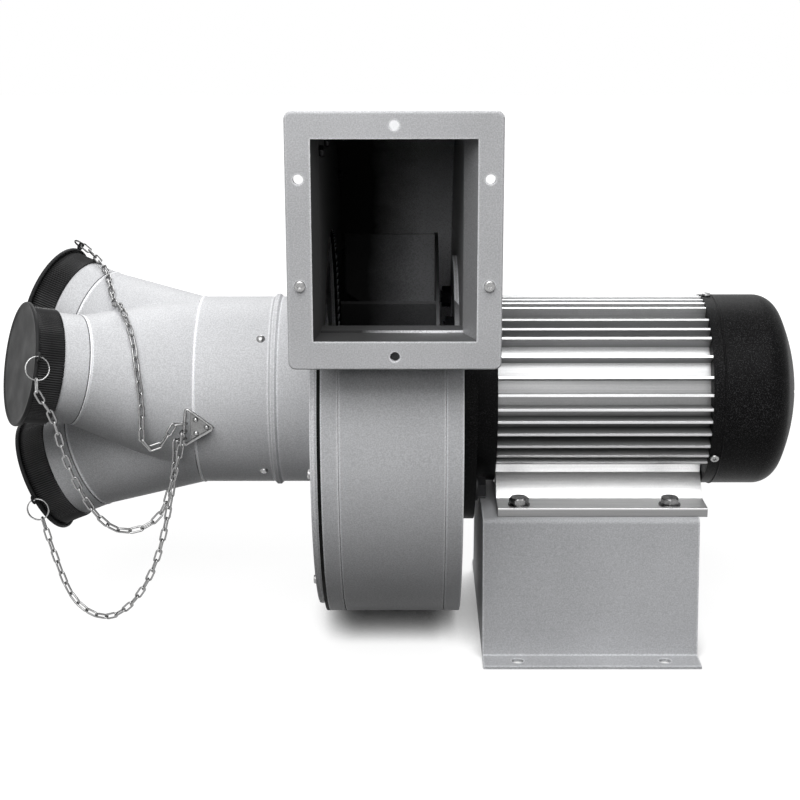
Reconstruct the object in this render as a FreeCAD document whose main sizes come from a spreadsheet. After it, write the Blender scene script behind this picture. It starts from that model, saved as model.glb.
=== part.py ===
import FreeCAD, Part
import math
import os
import re
import Sketcher
from FreeCAD import Placement, Rotation, Vector

# Material handling fan: a direct-driven radial blower on a pedestal, with three capped inlet branches.
# Millimetres. The origin is the middle of the pedestal's bolt pattern on the floor, +X runs along the
# shaft from the inlet branches to the motor's fan cowl, +Z is up, and the outlet faces -Y.

SIZES = {
    # pedestal: a folded sheet box that stands on two bolted lips
    "base_length": 200, "base_top": 194, "base_foot": 231, "base_height": 130, "base_sheet": 3,
    "base_bend": 5, "base_lip": 24, "base_hole": 11, "base_hole_pitch": 136,
    # motor: shaft height, finned frame, feet
    "motor_height": 100, "drum_length": 20, "frame_length": 196, "frame_radius": 76,
    "frame_bore": 68, "fin_reach": 90, "fin_sheet": 2.4, "foot_inner": 28, "foot_plate": 8.5,
    "foot_reach": 90, "web_low": 60, "web_high": 42, "web_rise": 29, "foot_bolt_middle": 4,
    "foot_pitch_along": 140, "foot_pitch_across": 160, "foot_hole": 12, "foot_bolt": 10,
    "foot_bolt_flats": 16, "foot_bolt_head": 6.4,
    # terminal box on the side turned away from the outlet
    "terminal_middle": 10, "terminal_length": 92, "terminal_width": 76, "terminal_depth": 40,
    "terminal_wall": 3, "terminal_floor": 6, "terminal_lid_sheet": 4, "gland_radius": 11,
    "gland_length": 24, "terminal_screw": 4, "block_length": 50, "block_depth": 9,
    "block_width": 26, "block_pitch": 16,
    # flange end shield, rear end shield and cowl
    "flange_radius": 125, "flange_sheet": 14, "flange_pitch_circle": 215, "flange_bolt": 12,
    "flange_bolt_flats": 18, "spigot_radius": 90, "spigot_length": 4, "drum_radius": 88,
    "shaft_opening": 17, "rear_shield_radius": 88.3, "rear_shield_length": 12,
    "cowl_radius": 90.6, "cowl_length": 89.3, "cowl_sheet": 1.8, "cowl_round": 23,
    "cowl_dome": 180.4,
    "cowl_slot": 3.6, "cowl_slot_near": 20, "cowl_slot_far": 52, "cowl_slots": 18,
    "cowl_screw": 5,
    # stator, rotor, shaft and bearings
    "core_inset": 35, "core_end_inset": 41, "stator_bore": 46, "air_gap": 0.5,
    "winding_length": 20, "winding_inner": 49, "winding_outer": 64, "shaft_radius": 14,
    "shaft_reach": 60, "shaft_tail": 4, "seat_radius": 15, "core_shaft_radius": 20,
    "running_gap": 0.05, "bearing_outer": 31, "bearing_inner": 19, "bearing_width": 16,
    "cooling_gap": 9, "cooling_width": 26, "cooling_radius": 74, "cooling_blade": 2.4,
    "key_width": 8, "key_height": 7, "key_seat": 10, "key_length": 38,
    # spiral casing laid out from four quarter arcs about a small square
    "casing_back": -121, "casing_width": 122, "casing_sheet": 2, "volute_radius": 206,
    "volute_step": 22, "duct_height": 166, "tongue_radius": 8, "rim_width": 15, "lap_gap": 0.2,
    "liner_sheet": 1.8, "access_radius": 154, "ring_radius": 128, "ring_sheet": 4,
    # outlet transition and its flange
    "outlet_reach": 229, "outlet_flange_sheet": 6, "outlet_width": 132, "outlet_shift": 3,
    "outlet_flange_width": 173, "outlet_flange_height": 207, "outlet_flange_drop": 1,
    "outlet_corner": 6, "outlet_edge": 1.6, "outlet_hole": 8, "outlet_hole_pitch": 152,
    "outlet_hole_upper": 50.5, "outlet_hole_lower": 34.5, "outlet_hole_middle": 92.75,
    # inlet cover, gasket and tube
    "gasket_sheet": 3, "backing_sheet": 3.5, "cover_sheet": 3, "cover_inset": 7,
    "cover_screw": 5, "cover_screw_inset": 16, "tube_radius": 89, "tube_sheet": 1.5,
    "tube_length": 111.75, "bead_place": 40, "bead_height": 2.6, "bead_width": 8,
    "tube_screw_place": 51.5,
    # inlet branches and their caps, measured along each branch from the junction
    "junction_inset": 51, "branch_spread_angle": 25.7, "branch_turn_angle": 22, "branch_lift_angle": 2.9,
    "branch_swing_angle": 1.6, "spout_radius": 50, "spout_start": 180, "spout_end": 226,
    "cap_start": 205, "cap_end": 229.5, "cap_grip": 0.35, "band_wall": 2.2, "lid_sheet": 2,
    "lid_radius": 56.3, "lid_roll": 1.8, "ear_radius": 4.4, "ear_reach": 59.2, "ear_hole": 1.9,
    "hanger_radius": 10.2, "hanger_wire": 0.8, "hook_radius": 4.8,
    # chains and their bracket on the tube
    "link_pitch": 11, "link_width": 3.6, "link_wire": 1.6, "link_slack": 0.35,
    "bracket_wire": 1.1, "bracket_face": 96, "bracket_sheet": 1.4, "bracket_rivet": 2.2,
    # impeller
    "hub_radius": 35, "hub_length": 50, "hub_flange_radius": 52, "hub_flange_sheet": 6,
    "wheel_radius": 150, "wheel_sheet": 3, "wheel_gap": 20, "blade_sheet": 3,
    "blade_width": 84, "blade_count": 8, "wheel_bolt_circle": 87, "wheel_bolt": 8,
}

# Measures that follow from the driving ones.
FOLLOWS = {
    "shaft_height": "(base_height + motor_height)",
    "flange_face": "(casing_back + flange_sheet)",
    "frame_start": "(flange_face + drum_length)",
    "frame_end": "(frame_start + frame_length)",
    "core_start": "(frame_start + core_inset)",
    "core_end": "(frame_end - core_end_inset)",
    "core_length": "(core_end - core_start)",
    "shaft_start": "(casing_back - shaft_reach)",
    "shaft_end": "(cooling_start + cooling_width + shaft_tail)",
    "cooling_start": "(frame_end + rear_shield_length + cooling_gap)",
    "fin_root": "(frame_radius - 2)",
    "terminal_face": "(frame_radius + terminal_depth)",
    "terminal_seat": "(frame_radius + terminal_floor)",
    "cowl_end": "(frame_end + cowl_length)",
    "dome_middle": "(cowl_end - cowl_dome)",
    "dome_reach": "(cowl_dome - cowl_round)",
    "cowl_shoulder": "(cowl_radius - cowl_round)",
    "cowl_bend": "(dome_middle + sqrt(dome_reach * dome_reach - cowl_shoulder * cowl_shoulder))",
    "drive_seat": "(frame_start - bearing_width)",
    "rear_seat": "(frame_end - 6)",
    "casing_front": "(casing_back - casing_width)",
    "casing_middle": "(casing_back - casing_width / 2)",
    "volute_top": "(2.5 * volute_step + volute_radius)",
    "volute_floor": "(volute_top - duct_height)",
    "mouth": "(volute_step / 2 - volute_radius)",
    "tongue_rise": "(volute_floor - tongue_radius)",
    "tongue_span": "(volute_radius - volute_step + tongue_radius)",
    "tongue_out": "(-volute_step / 2 - sqrt(tongue_span * tongue_span"
                  " - (tongue_rise + volute_step / 2) * (tongue_rise + volute_step / 2)))",
    "outlet_middle": "(casing_middle + outlet_shift)",
    "outlet_centre": "(volute_top - duct_height / 2)",
    "outlet_back": "(outlet_reach - outlet_flange_sheet)",
    "cover_back": "(casing_front - gasket_sheet)",
    "cover_seam": "(cover_back - backing_sheet)",
    "tube_start": "(cover_seam - cover_sheet)",
    "tube_end": "(tube_start - tube_length)",
    "bead_middle": "(tube_start - bead_place)",
    "tube_screws": "(tube_start - tube_screw_place)",
    "branch_origin": "(tube_end + junction_inset)",
    "wheel_back": "(casing_back - wheel_gap)",
    "wheel_start": "(wheel_back - wheel_sheet)",
    "blade_start": "(wheel_start - blade_width)",
}

FIN_TURNS = (-36, -30, -22.5, -14, -6, 1.5, 10, 20.5, 33, 45, 51.5, 59, 71, 77, 83)
BELLY_FIN_TURNS = (-76,)
BRANCH_STEPS = {"front": 0, "upper": 120, "lower": -120}
EAR_TURNS = {"front": 18, "upper": 110, "lower": -8}
HANG_TURNS = {"front": 285, "upper": 45, "lower": 272}
HANGERS = {"front": "hanger_radius", "upper": "hook_radius", "lower": "hanger_radius"}

# Middle points of each chain, from the centre of the tube's end: it hangs free or drapes over a branch.
CHAIN_ROUTES = {
    "front": [(-125, -156.6, 37), (-117.7, -151, 20), (-108.7, -147.3, -15), (-96.7, -142.5, -54),
              (-82.7, -137, -82), (-64.7, -129.5, -99), (-44.7, -122.3, -99), (-29.5, -117.4, -87.8),
              (-20, -113.7, -63.4), (-12.3, -110.5, -38.8)],
    "lower": [(-146.7, -54, -137), (-137.7, -57.6, -164.3), (-124.2, -63, -192), (-108.7, -69, -203),
              (-92.7, -75, -205), (-72.7, -83, -194), (-54.5, -90, -172), (-37, -97, -135.5),
              (-26.4, -100.4, -97), (-18.7, -103, -59.4)],
    "upper": [(-114.8, 69.4, 118), (-99.4, 43.5, 107.8), (-90.1, 13.4, 98), (-84.2, -5, 88.8),
              (-79, -21.5, 86), (-74.4, -37.2, 89.6), (-68.8, -54, 92), (-63.5, -69.4, 90.6),
              (-58.4, -80.8, 83.8), (-51.3, -95, 69.2),
              (-47.1, -106, 49.1), (-44.2, -110.5, 27.4), (-43.6, -111, 6), (-44.5, -110.5, -15),
              (-43, -109, -25.5), (-36.5, -107.5, -29), (-27.5, -105.5, -25), (-21.5, -103.5, -16)],
}
# Where each chain's end link holds the bracket's free bar: the drop below the shaft, and its direction.
BRACKET_HOLDS = {"front": (15, -0.05, -1.0), "upper": (8, -0.92, -0.39), "lower": (22, -0.62, -0.78)}
# The bracket's three wire corners and its rivets, from the centre of the tube's end (along X, up).
BRACKET_CORNERS = ((-6, 6.7), (19.4, -12.4), (-9.2, -29))
BRACKET_RIVETS = ((12.3, -11.8), (2.6, -4.8), (2.6, -17.6))

AROUND = {
    "+x": Rotation(Vector(0, 1, 0), 90),
    "-x": Rotation(Vector(0, 1, 0), -90),
    "+y": Rotation(Vector(1, 0, 0), -90),
    "-y": Rotation(Vector(1, 0, 0), 90),
    "+z": Rotation(),
    "-z": Rotation(Vector(1, 0, 0), 180),
}

doc = FreeCAD.newDocument("MaterialHandlingFan")
sheet = doc.addObject("Spreadsheet::Sheet", "Sizes")
subparts = []


def fill_sheet():
    """Puts each driving dimension in a row of its own, with its name as the alias."""
    for row, (name, number) in enumerate(SIZES.items(), 1):
        sheet.set("A%d" % row, name)
        sheet.set("B%d" % row, str(number))
        sheet.setAlias("B%d" % row, name)
    doc.recompute()


def formula(text):
    """An expression in which every size is a reference to its cell."""
    text = str(text)
    while any(word in FOLLOWS for word in re.findall(r"[a-z_]+", text)):
        text = re.sub(r"[a-z_]+", lambda word: FOLLOWS.get(word.group(), word.group()), text)
    return re.sub(r"[a-z_]+", lambda word: "Sizes." + word.group()
                  if word.group() in SIZES else word.group(), text)


def value(text):
    """The number that an expression gives with the present sheet."""
    return float(sheet.evalExpression(formula(text)))


def bind(thing, **sizes):
    """Ties properties of an object to the sheet."""
    for name, text in sizes.items():
        thing.setExpression(name, formula(text))
    return thing


def primitive(kind, at, along="+z", **sizes):
    """A Part primitive whose sizes and position are tied to the sheet."""
    made = doc.addObject("Part::" + kind, kind)
    made.Placement = Placement(Vector(), AROUND[along])
    bind(made, **sizes)
    for axis, text in zip("xyz", at):
        made.setExpression("Placement.Base." + axis, formula(text))
    return made


def cylinder(radius, length, at=(0, 0, 0), along="+x"):
    return primitive("Cylinder", at, along, Radius=radius, Height=length)


def box(low, size):
    return primitive("Box", low, "+z", Length=size[0], Width=size[1], Height=size[2])


def hexagon(flats, length, at, along):
    made = primitive("Prism", at, along, Circumradius="(%s) / sqrt(3)" % flats, Height=length)
    made.Polygon = 6
    return made


def fuse(*pieces):
    made = doc.addObject("Part::MultiFuse", "Fuse")
    made.Shapes = list(pieces)
    return made


def group(*pieces):
    made = doc.addObject("Part::Compound", "Group")
    made.Links = list(pieces)
    return made


def cut(whole, *tools):
    made = doc.addObject("Part::Cut", "Cut")
    made.Base = whole
    made.Tool = tools[0] if len(tools) == 1 else fuse(*tools)
    return made


def tube(outer, inner, length, at):
    return cut(cylinder(outer, length, at), cylinder(inner, length, at))


def keep(thing, label):
    """Names an object as a sub-part, which is written to a file of that name."""
    thing.Label = label
    subparts.append(thing)
    return thing


def new_body(label):
    return keep(doc.addObject("PartDesign::Body", label), label)


def sketch_on(body, plane, lift=0):
    """A sketch on one of the body's own origin planes, lifted along the plane's normal."""
    sketch = body.newObject("Sketcher::SketchObject", "Sketch")
    role = [entry for entry in body.Origin.OriginFeatures if entry.Role == plane][0]
    sketch.AttachmentSupport = [(role, "")]
    sketch.MapMode = "FlatFace"
    sketch.setExpression(".AttachmentOffset.Base.z", formula(lift))
    return sketch


def tie(sketch, kind, edge, point, text):
    """One dimension of a sketch, from its origin to a point, tied to the sheet."""
    index = sketch.addConstraint(Sketcher.Constraint(kind, edge, point, value(text)))
    sketch.setExpression("Constraints[%d]" % index, formula(text))


def tie_radius(sketch, edge, text):
    index = sketch.addConstraint(Sketcher.Constraint("Radius", edge, value(text)))
    sketch.setExpression("Constraints[%d]" % index, formula(text))


def outline(sketch, corners):
    """A closed outline of (across, up) corners tied to the sheet.

    A corner may also carry (radius, centre across, centre up, clockwise) of the arc that leaves it.
    """
    count, edges = len(corners), []
    spots = [Vector(value(corner[0]), value(corner[1]), 0) for corner in corners]
    for i, corner in enumerate(corners):
        here, there = spots[i], spots[(i + 1) % count]
        if len(corner) == 2:
            edges.append((sketch.addGeometry(Part.LineSegment(here, there), False), 1, 2))
            continue
        radius, across, up, clockwise = corner[2]
        centre = Vector(value(across), value(up), 0)
        turns = [math.atan2(spot.y - centre.y, spot.x - centre.x) for spot in (here, there)]
        circle = Part.Circle(centre, Vector(0, 0, 1), value(radius))
        ends = turns[::-1] if clockwise else turns
        edge = sketch.addGeometry(Part.ArcOfCircle(circle, *ends), False)
        edges.append((edge, 2, 1) if clockwise else (edge, 1, 2))
    for (edge, start, end), (following, first, last) in zip(edges, edges[1:] + edges[:1]):
        sketch.addConstraint(Sketcher.Constraint("Coincident", edge, end, following, first))
    for (edge, start, end), corner in zip(edges, corners):
        tie(sketch, "DistanceX", edge, start, corner[0])
        tie(sketch, "DistanceY", edge, start, corner[1])
        if len(corner) == 3:
            tie_radius(sketch, edge, corner[2][0])


def rectangle(sketch, left, right, low, high):
    outline(sketch, [(left, low), (right, low), (right, high), (left, high)])


def hole(sketch, across, up, radius):
    edge = sketch.addGeometry(Part.Circle(Vector(value(across), value(up), 0), Vector(0, 0, 1),
                                          value(radius)), False)
    tie(sketch, "DistanceX", edge, 3, across)
    tie(sketch, "DistanceY", edge, 3, up)
    tie_radius(sketch, edge, radius)


def feature(body, kind, sketch, **sizes):
    made = body.newObject("PartDesign::" + kind, kind)
    made.Profile = sketch
    bind(made, **sizes)
    return made


def pad(body, sketch, length):
    made = feature(body, "Pad", sketch, Length=length)
    doc.recompute()
    return made


def pocket(body, sketch, length):
    """Cuts along the sketch's normal."""
    made = feature(body, "Pocket", sketch, Length=length)
    made.Reversed = True
    doc.recompute()
    return made


def loft(body, kind, first, second):
    made = feature(body, kind, first)
    made.Sections = [second]
    made.Ruled = True
    doc.recompute()
    return made


def revolve(body, corners):
    """Turns an outline of (along X, radius) corners about the body's X axis."""
    sketch = sketch_on(body, "XZ_Plane")
    outline(sketch, corners)
    made = feature(body, "Revolution", sketch)
    made.ReferenceAxis = (sketch, ["H_Axis"])
    made.Angle = 360
    doc.recompute()
    return made


def spread(body, made, sketch, axis, count):
    """Repeats a feature round the body's X axis."""
    pattern = body.newObject("PartDesign::PolarPattern", "PolarPattern")
    pattern.Originals = [made]
    pattern.Axis = (sketch, [axis])
    pattern.Angle = 360
    if str(count) in SIZES:
        bind(pattern, Occurrences=count)
    else:
        pattern.Occurrences = count
    body.Tip = pattern
    doc.recompute()
    return pattern


def soften(body, made, kind, size, test):
    """Fillets or chamfers the edges of a body's latest feature that pass a test."""
    names = ["Edge%d" % (i + 1) for i, edge in enumerate(made.Shape.Edges) if test(edge)]
    done = body.newObject("PartDesign::" + kind, kind)
    done.Base = (made, names)
    bind(done, **{"Radius" if kind == "Fillet" else "Size": size})
    doc.recompute()
    return done


def runs_along(edge, axis):
    """Whether a straight edge runs along a direction."""
    if edge.Curve.TypeId != "Part::GeomLine":
        return False
    return abs(edge.tangentAt(edge.FirstParameter).dot(axis)) > 0.999


def lift_to_shaft(body):
    body.setExpression("Placement.Base.z", formula("shaft_height"))


# Pedestal and motor


def base_pedestal():
    """Trapezoid box of folded sheet, open below, with an outward lip at the front and the rear."""
    body = new_body("base_pedestal")
    shell = sketch_on(body, "YZ_Plane", "-base_length / 2")
    outline(shell, [("-base_foot / 2", 0), ("base_foot / 2", 0),
                    ("base_top / 2", "base_height"), ("-base_top / 2", "base_height")])
    block = pad(body, shell, "base_length")
    top = value("base_height")
    soften(body, block, "Fillet", "base_bend", lambda edge: runs_along(edge, Vector(1, 0, 0))
           and edge.BoundBox.ZMin > top - 1)
    inside = sketch_on(body, "YZ_Plane", "base_sheet - base_length / 2")
    outline(inside, [("base_sheet - base_foot / 2", 0), ("base_foot / 2 - base_sheet", 0),
                     ("base_top / 2 - base_sheet", "base_height - base_sheet"),
                     ("base_sheet - base_top / 2", "base_height - base_sheet")])
    pocket(body, inside, "base_length - 2 * base_sheet")
    lips = sketch_on(body, "XY_Plane")
    for side in ("-", ""):
        rectangle(lips, "-base_length / 2", "base_length / 2",
                  side + "(base_foot / 2 - base_sheet / 2)", side + "(base_foot / 2 + base_lip)")
    pad(body, lips, "base_sheet")
    holes = sketch_on(body, "XY_Plane", -1)
    for side in ("-", ""):
        for along in ("-", ""):
            hole(holes, along + "base_hole_pitch / 2",
                 side + "(base_foot / 2 + base_lip / 2)", "base_hole / 2")
        for along in ("-", "+"):
            hole(holes, "foot_bolt_middle %s foot_pitch_along / 2" % along,
                 side + "foot_pitch_across / 2", "foot_hole / 2")
    pocket(body, holes, "base_height + 2")


def fin(turn, side):
    """A radial cooling fin: a thin box from inside the barrel's wall to the fins' reach."""
    lean = math.radians(side * (90 - turn))
    made = primitive("Box", (
        "frame_start", "-fin_sheet / 2 * %.6f - fin_root * %.6f" % (math.cos(lean), math.sin(lean)),
        "shaft_height - fin_sheet / 2 * %.6f + fin_root * %.6f" % (math.sin(lean), math.cos(lean))),
        Length="frame_length", Width="fin_sheet", Height="fin_reach - fin_root")
    made.Placement.Rotation = Rotation(Vector(1, 0, 0), math.degrees(lean))
    return made


def motor_frame():
    """Finned barrel; the fins stop short round the terminal box's seat on the rear side."""
    fins = [fin(turn, side) for turn in FIN_TURNS + BELLY_FIN_TURNS for side in (1, -1)]
    fins += [fin(90, 1), fin(-90, 1)]
    seat = box(("terminal_middle - terminal_length / 2 - 3", "frame_bore / 2",
                "shaft_height - terminal_width / 2 - 3"),
               ("terminal_length + 6", "fin_reach", "terminal_width + 6"))
    at = ("frame_start", 0, "shaft_height")
    barrel = cylinder("frame_radius", "frame_length", at)
    whole = fuse(barrel, cut(fuse(*fins), seat))
    keep(cut(whole, cylinder("frame_bore", "frame_length", at)), "motor_frame")


def motor_foot(label, side):
    """Bolted-on foot: a flat plate and a sloping web that leans against the barrel."""
    body = new_body(label)
    sketch = sketch_on(body, "YZ_Plane", "frame_start + 1")
    corners = [("foot_inner", "base_height"), ("foot_reach", "base_height"),
               ("foot_reach", "base_height + foot_plate"), ("web_low", "base_height + foot_plate"),
               ("web_high", "base_height + web_rise"), ("web_high", "shaft_height - web_high"),
               ("foot_inner", "shaft_height - web_high")]
    outline(sketch, [("%s(%s)" % (side, across), up) for across, up in corners])
    pad(body, sketch, "frame_length - 2")
    barrel = sketch_on(body, "YZ_Plane", "frame_start")
    hole(barrel, 0, "shaft_height", "frame_radius")
    pocket(body, barrel, "frame_length")
    holes = sketch_on(body, "XY_Plane", "base_height - 1")
    for along in ("-", "+"):
        hole(holes, "foot_bolt_middle %s foot_pitch_along / 2" % along,
             side + "foot_pitch_across / 2", "foot_hole / 2")
    pocket(body, holes, "foot_plate + 2")


def motor_feet():
    motor_foot("motor_foot_front", "-")
    motor_foot("motor_foot_rear", "")


def foot_bolts():
    """Four hexagon bolts with washers and nuts, through the feet and the pedestal's top."""
    bolts = []
    under, over = "base_height - base_sheet", "base_height + foot_plate"
    for side in ("-", ""):
        for along in ("-", "+"):
            spot = ("foot_bolt_middle %s foot_pitch_along / 2" % along,
                    side + "foot_pitch_across / 2")
            bolts.append(fuse(
                cylinder("foot_bolt / 2", "base_sheet + foot_plate + 14",
                         spot + (under + " - 12",), "+z"),
                cylinder("foot_bolt", 2, spot + (over,), "+z"),
                hexagon("foot_bolt_flats", "foot_bolt_head", spot + (over + " + 2",), "+z"),
                hexagon("foot_bolt_flats", 8, spot + (under + " - 8",), "+z")))
    keep(group(*bolts), "foot_bolts")


def bolt_spots(circle, turn=45, count=4):
    """Positions on a pitch circle about the shaft, as expressions of Y and Z."""
    spots = []
    for i in range(count):
        angle = math.radians(turn + 360 * i / count)
        spots.append(("%s / 2 * %.6f" % (circle, math.cos(angle)),
                      "%s / 2 * %.6f" % (circle, math.sin(angle))))
    return spots


def flange_end_shield():
    """One casting: the bolting flange, the drum behind it, the register and the bearing seat."""
    body = new_body("flange_end_shield")
    revolve(body, [
        ("casing_back - spigot_length", "shaft_opening"),
        ("casing_back - spigot_length", "spigot_radius"), ("casing_back", "spigot_radius"),
        ("casing_back", "flange_radius"), ("flange_face", "flange_radius"),
        ("flange_face", "drum_radius"), ("frame_start", "drum_radius"),
        ("frame_start", "frame_bore - 0.1"), ("frame_start + 8", "frame_bore - 0.1"),
        ("frame_start + 8", "frame_bore - 8"), ("drive_seat + 4", "frame_bore - 12"),
        ("drive_seat + 4", "bearing_outer + 9"), ("frame_start", "bearing_outer + 7"),
        ("frame_start", "bearing_outer"), ("drive_seat", "bearing_outer"),
        ("drive_seat", "shaft_opening")])
    holes = sketch_on(body, "YZ_Plane", "casing_back - 1")
    for across, up in bolt_spots("flange_pitch_circle"):
        hole(holes, across, up, "flange_bolt / 2 + 1")
    pocket(body, holes, "flange_sheet + 2")
    lift_to_shaft(body)


def flange_bolts():
    """Four hexagon bolts that hold the motor's flange to the casing."""
    bolts = []
    inner = "casing_back - casing_sheet - ring_sheet"
    for across, up in bolt_spots("flange_pitch_circle"):
        spot = (across, "shaft_height + " + up)
        bolts.append(fuse(
            cylinder("flange_bolt / 2", "flange_sheet + casing_sheet + ring_sheet + 14",
                     (inner + " - 10",) + spot),
            hexagon("flange_bolt_flats", "flange_bolt * 0.7",
                    (inner + " - flange_bolt * 0.7",) + spot, "+x"),
            cylinder("flange_bolt", 2.5, ("flange_face",) + spot),
            hexagon("flange_bolt_flats", "flange_bolt * 0.62", ("flange_face + 2.5",) + spot, "+x")))
    keep(group(*bolts), "flange_bolts")


def rear_end_shield():
    """Rear bearing shield, whose rim also carries the cowl's three screws."""
    body = new_body("rear_end_shield")
    revolve(body, [
        ("rear_seat", "bearing_outer"), ("rear_seat - 2", "bearing_outer + 5"),
        ("frame_end + 3", "bearing_outer + 7"), ("frame_end + 3", "frame_bore - 10"),
        ("frame_end - 8", "frame_bore - 8"), ("frame_end - 8", "frame_bore - 0.1"),
        ("frame_end", "frame_bore - 0.1"), ("frame_end", "rear_shield_radius"),
        ("frame_end + rear_shield_length - 3", "rear_shield_radius"),
        ("frame_end + rear_shield_length", "rear_shield_radius - 8"),
        ("frame_end + rear_shield_length", "seat_radius - 1"),
        ("rear_seat + bearing_width", "seat_radius - 1"),
        ("rear_seat + bearing_width", "bearing_outer")])
    screws = sketch_on(body, "XY_Plane", "rear_shield_radius - 8")
    hole(screws, "frame_end + 5", 0, "cowl_screw / 2 + 0.1")
    spread(body, pocket(body, screws, 10), sketch_on(body, "YZ_Plane"), "N_Axis", 3)
    lift_to_shaft(body)


def fan_cowl():
    """Deep-drawn cowl over the cooling fan, with a rounded shoulder and a domed, slotted end."""
    body = new_body("fan_cowl")
    inner = "cowl_radius - cowl_sheet"

    def seam(reach):
        """Where the shoulder's arc meets the dome's, at a distance from the dome's centre."""
        return ("dome_middle + (%s) * (cowl_bend - dome_middle) / dome_reach" % reach,
                "(%s) * cowl_shoulder / dome_reach" % reach)

    revolve(body, [
        ("frame_end", inner), ("frame_end", "cowl_radius"),
        ("cowl_bend", "cowl_radius", ("cowl_round", "cowl_bend", "cowl_shoulder", True)),
        seam("cowl_dome") + (("cowl_dome", "dome_middle", "0", True),),
        ("cowl_end", 0), ("cowl_end - cowl_sheet", 0, ("cowl_dome - cowl_sheet", "dome_middle", "0", False)),
        seam("cowl_dome - cowl_sheet") + (("cowl_round - cowl_sheet", "cowl_bend", "cowl_shoulder", False),),
        ("cowl_bend", inner)])
    slot = sketch_on(body, "YZ_Plane", "cowl_bend")
    rectangle(slot, "-cowl_slot / 2", "cowl_slot / 2", "cowl_slot_near", "cowl_slot_far")
    spread(body, pocket(body, slot, "cowl_end - cowl_bend + 1"), slot, "N_Axis", "cowl_slots")
    screws = sketch_on(body, "XY_Plane", "cowl_radius - cowl_sheet - 2")
    hole(screws, "frame_end + 5", 0, "cowl_screw / 2 + 0.1")
    spread(body, pocket(body, screws, "cowl_sheet + 4"), slot, "N_Axis", 3)
    lift_to_shaft(body)


def cowl_screws():
    """Three washer-head screws, one on top and one low down on each side."""
    screws = []
    for angle in (0, 120, 240):
        lean = math.radians(angle)
        pieces = []
        for radius, start, length in (("cowl_screw / 2", "rear_shield_radius - 7", 10),
                                      ("cowl_screw * 1.1", "cowl_radius", 2.4)):
            piece = primitive("Cylinder", (
                "frame_end + 5", "(%s) * %.6f" % (start, -math.sin(lean)),
                "shaft_height + (%s) * %.6f" % (start, math.cos(lean))),
                Radius=radius, Height=length)
            piece.Placement.Rotation = Rotation(Vector(1, 0, 0), angle)
            pieces.append(piece)
        screws.append(fuse(*pieces))
    keep(group(*screws), "cowl_screws")


def stator_core():
    at = ("core_start", 0, "shaft_height")
    keep(tube("frame_bore", "stator_bore", "core_length", at), "stator_core")


def stator_windings():
    """The copper end turns at both ends of the core."""
    ends = [tube("winding_outer", "winding_inner", "winding_length", (start, 0, "shaft_height"))
            for start in ("core_start - winding_length", "core_end")]
    keep(group(*ends), "stator_windings")


def bearing_rings():
    """Fixed outer rings, and the two inner rings that turn with the shaft."""
    for label, start in (("drive_bearing_outer", "drive_seat"), ("rear_bearing_outer", "rear_seat")):
        keep(tube("bearing_outer", "bearing_inner + running_gap", "bearing_width",
                  (start, 0, "shaft_height")), label)
    inner = [tube("bearing_inner", "seat_radius", "bearing_width", (start, 0, "shaft_height"))
             for start in ("drive_seat", "rear_seat")]
    keep(group(*inner), "bearing_inner_rings")


def motor_shaft():
    """Stepped shaft with bearing seats, a key seat and a tapped end for the impeller's bolt."""
    body = new_body("motor_shaft")
    first, last = "drive_seat + bearing_width", "rear_seat"
    revolve(body, [
        ("shaft_start", 0), ("shaft_start", "shaft_radius - 1"),
        ("shaft_start + 1", "shaft_radius"), ("drive_seat - 3", "shaft_radius"),
        ("drive_seat - 3", "seat_radius"), (first, "seat_radius"),
        (first, "bearing_inner - 1"), (first + " + 4", "bearing_inner - 1"),
        (first + " + 4", "core_shaft_radius"), (last + " - 4", "core_shaft_radius"),
        (last + " - 4", "bearing_inner - 1"), (last, "bearing_inner - 1"),
        (last, "seat_radius"), (last + " + bearing_width", "seat_radius"),
        (last + " + bearing_width", "seat_radius - 3"), ("shaft_end", "seat_radius - 3"),
        ("shaft_end", 0)])
    key = sketch_on(body, "XY_Plane", "key_seat")
    rectangle(key, "shaft_start + 5", "shaft_start + 5 + key_length",
              "-key_width / 2", "key_width / 2")
    pocket(body, key, "shaft_radius")
    tapping = sketch_on(body, "YZ_Plane", "shaft_start - 1")
    hole(tapping, 0, 0, 5)
    pocket(body, tapping, 25)
    lift_to_shaft(body)


def shaft_key():
    keep(box(("shaft_start + 5", "-key_width / 2", "shaft_height + key_seat"),
             ("key_length", "key_width", "key_height")), "shaft_key")


def rotor_core():
    at = ("core_start", 0, "shaft_height")
    keep(tube("stator_bore - air_gap", "core_shaft_radius", "core_length", at), "rotor_core")


def cooling_fan():
    """Straight-bladed fan on the shaft's rear end."""
    body = new_body("cooling_fan")
    revolve(body, [
        ("cooling_start", "seat_radius - 3"), ("cooling_start", "core_shaft_radius + 20"),
        ("cooling_start + 3", "core_shaft_radius + 20"), ("cooling_start + 3", "core_shaft_radius"),
        ("cooling_start + cooling_width - 2", "core_shaft_radius"),
        ("cooling_start + cooling_width - 2", "seat_radius - 3")])
    blade = sketch_on(body, "XZ_Plane", "-cooling_blade / 2")
    outline(blade, [("cooling_start", "seat_radius + 1"), ("cooling_start", "cooling_radius"),
                    ("cooling_start + cooling_width", "cooling_radius"),
                    ("cooling_start + cooling_width - 4", "seat_radius + 1")])
    spread(body, pad(body, blade, "cooling_blade"), blade, "H_Axis", 8)
    lift_to_shaft(body)


def terminal_screw_spots():
    """The lid's four screws, in from the box's corners."""
    return [("terminal_middle %s (terminal_length / 2 - 7)" % side,
             "%s(terminal_width / 2 - 7)" % level) for side in "-+" for level in ("-", "")]


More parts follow.
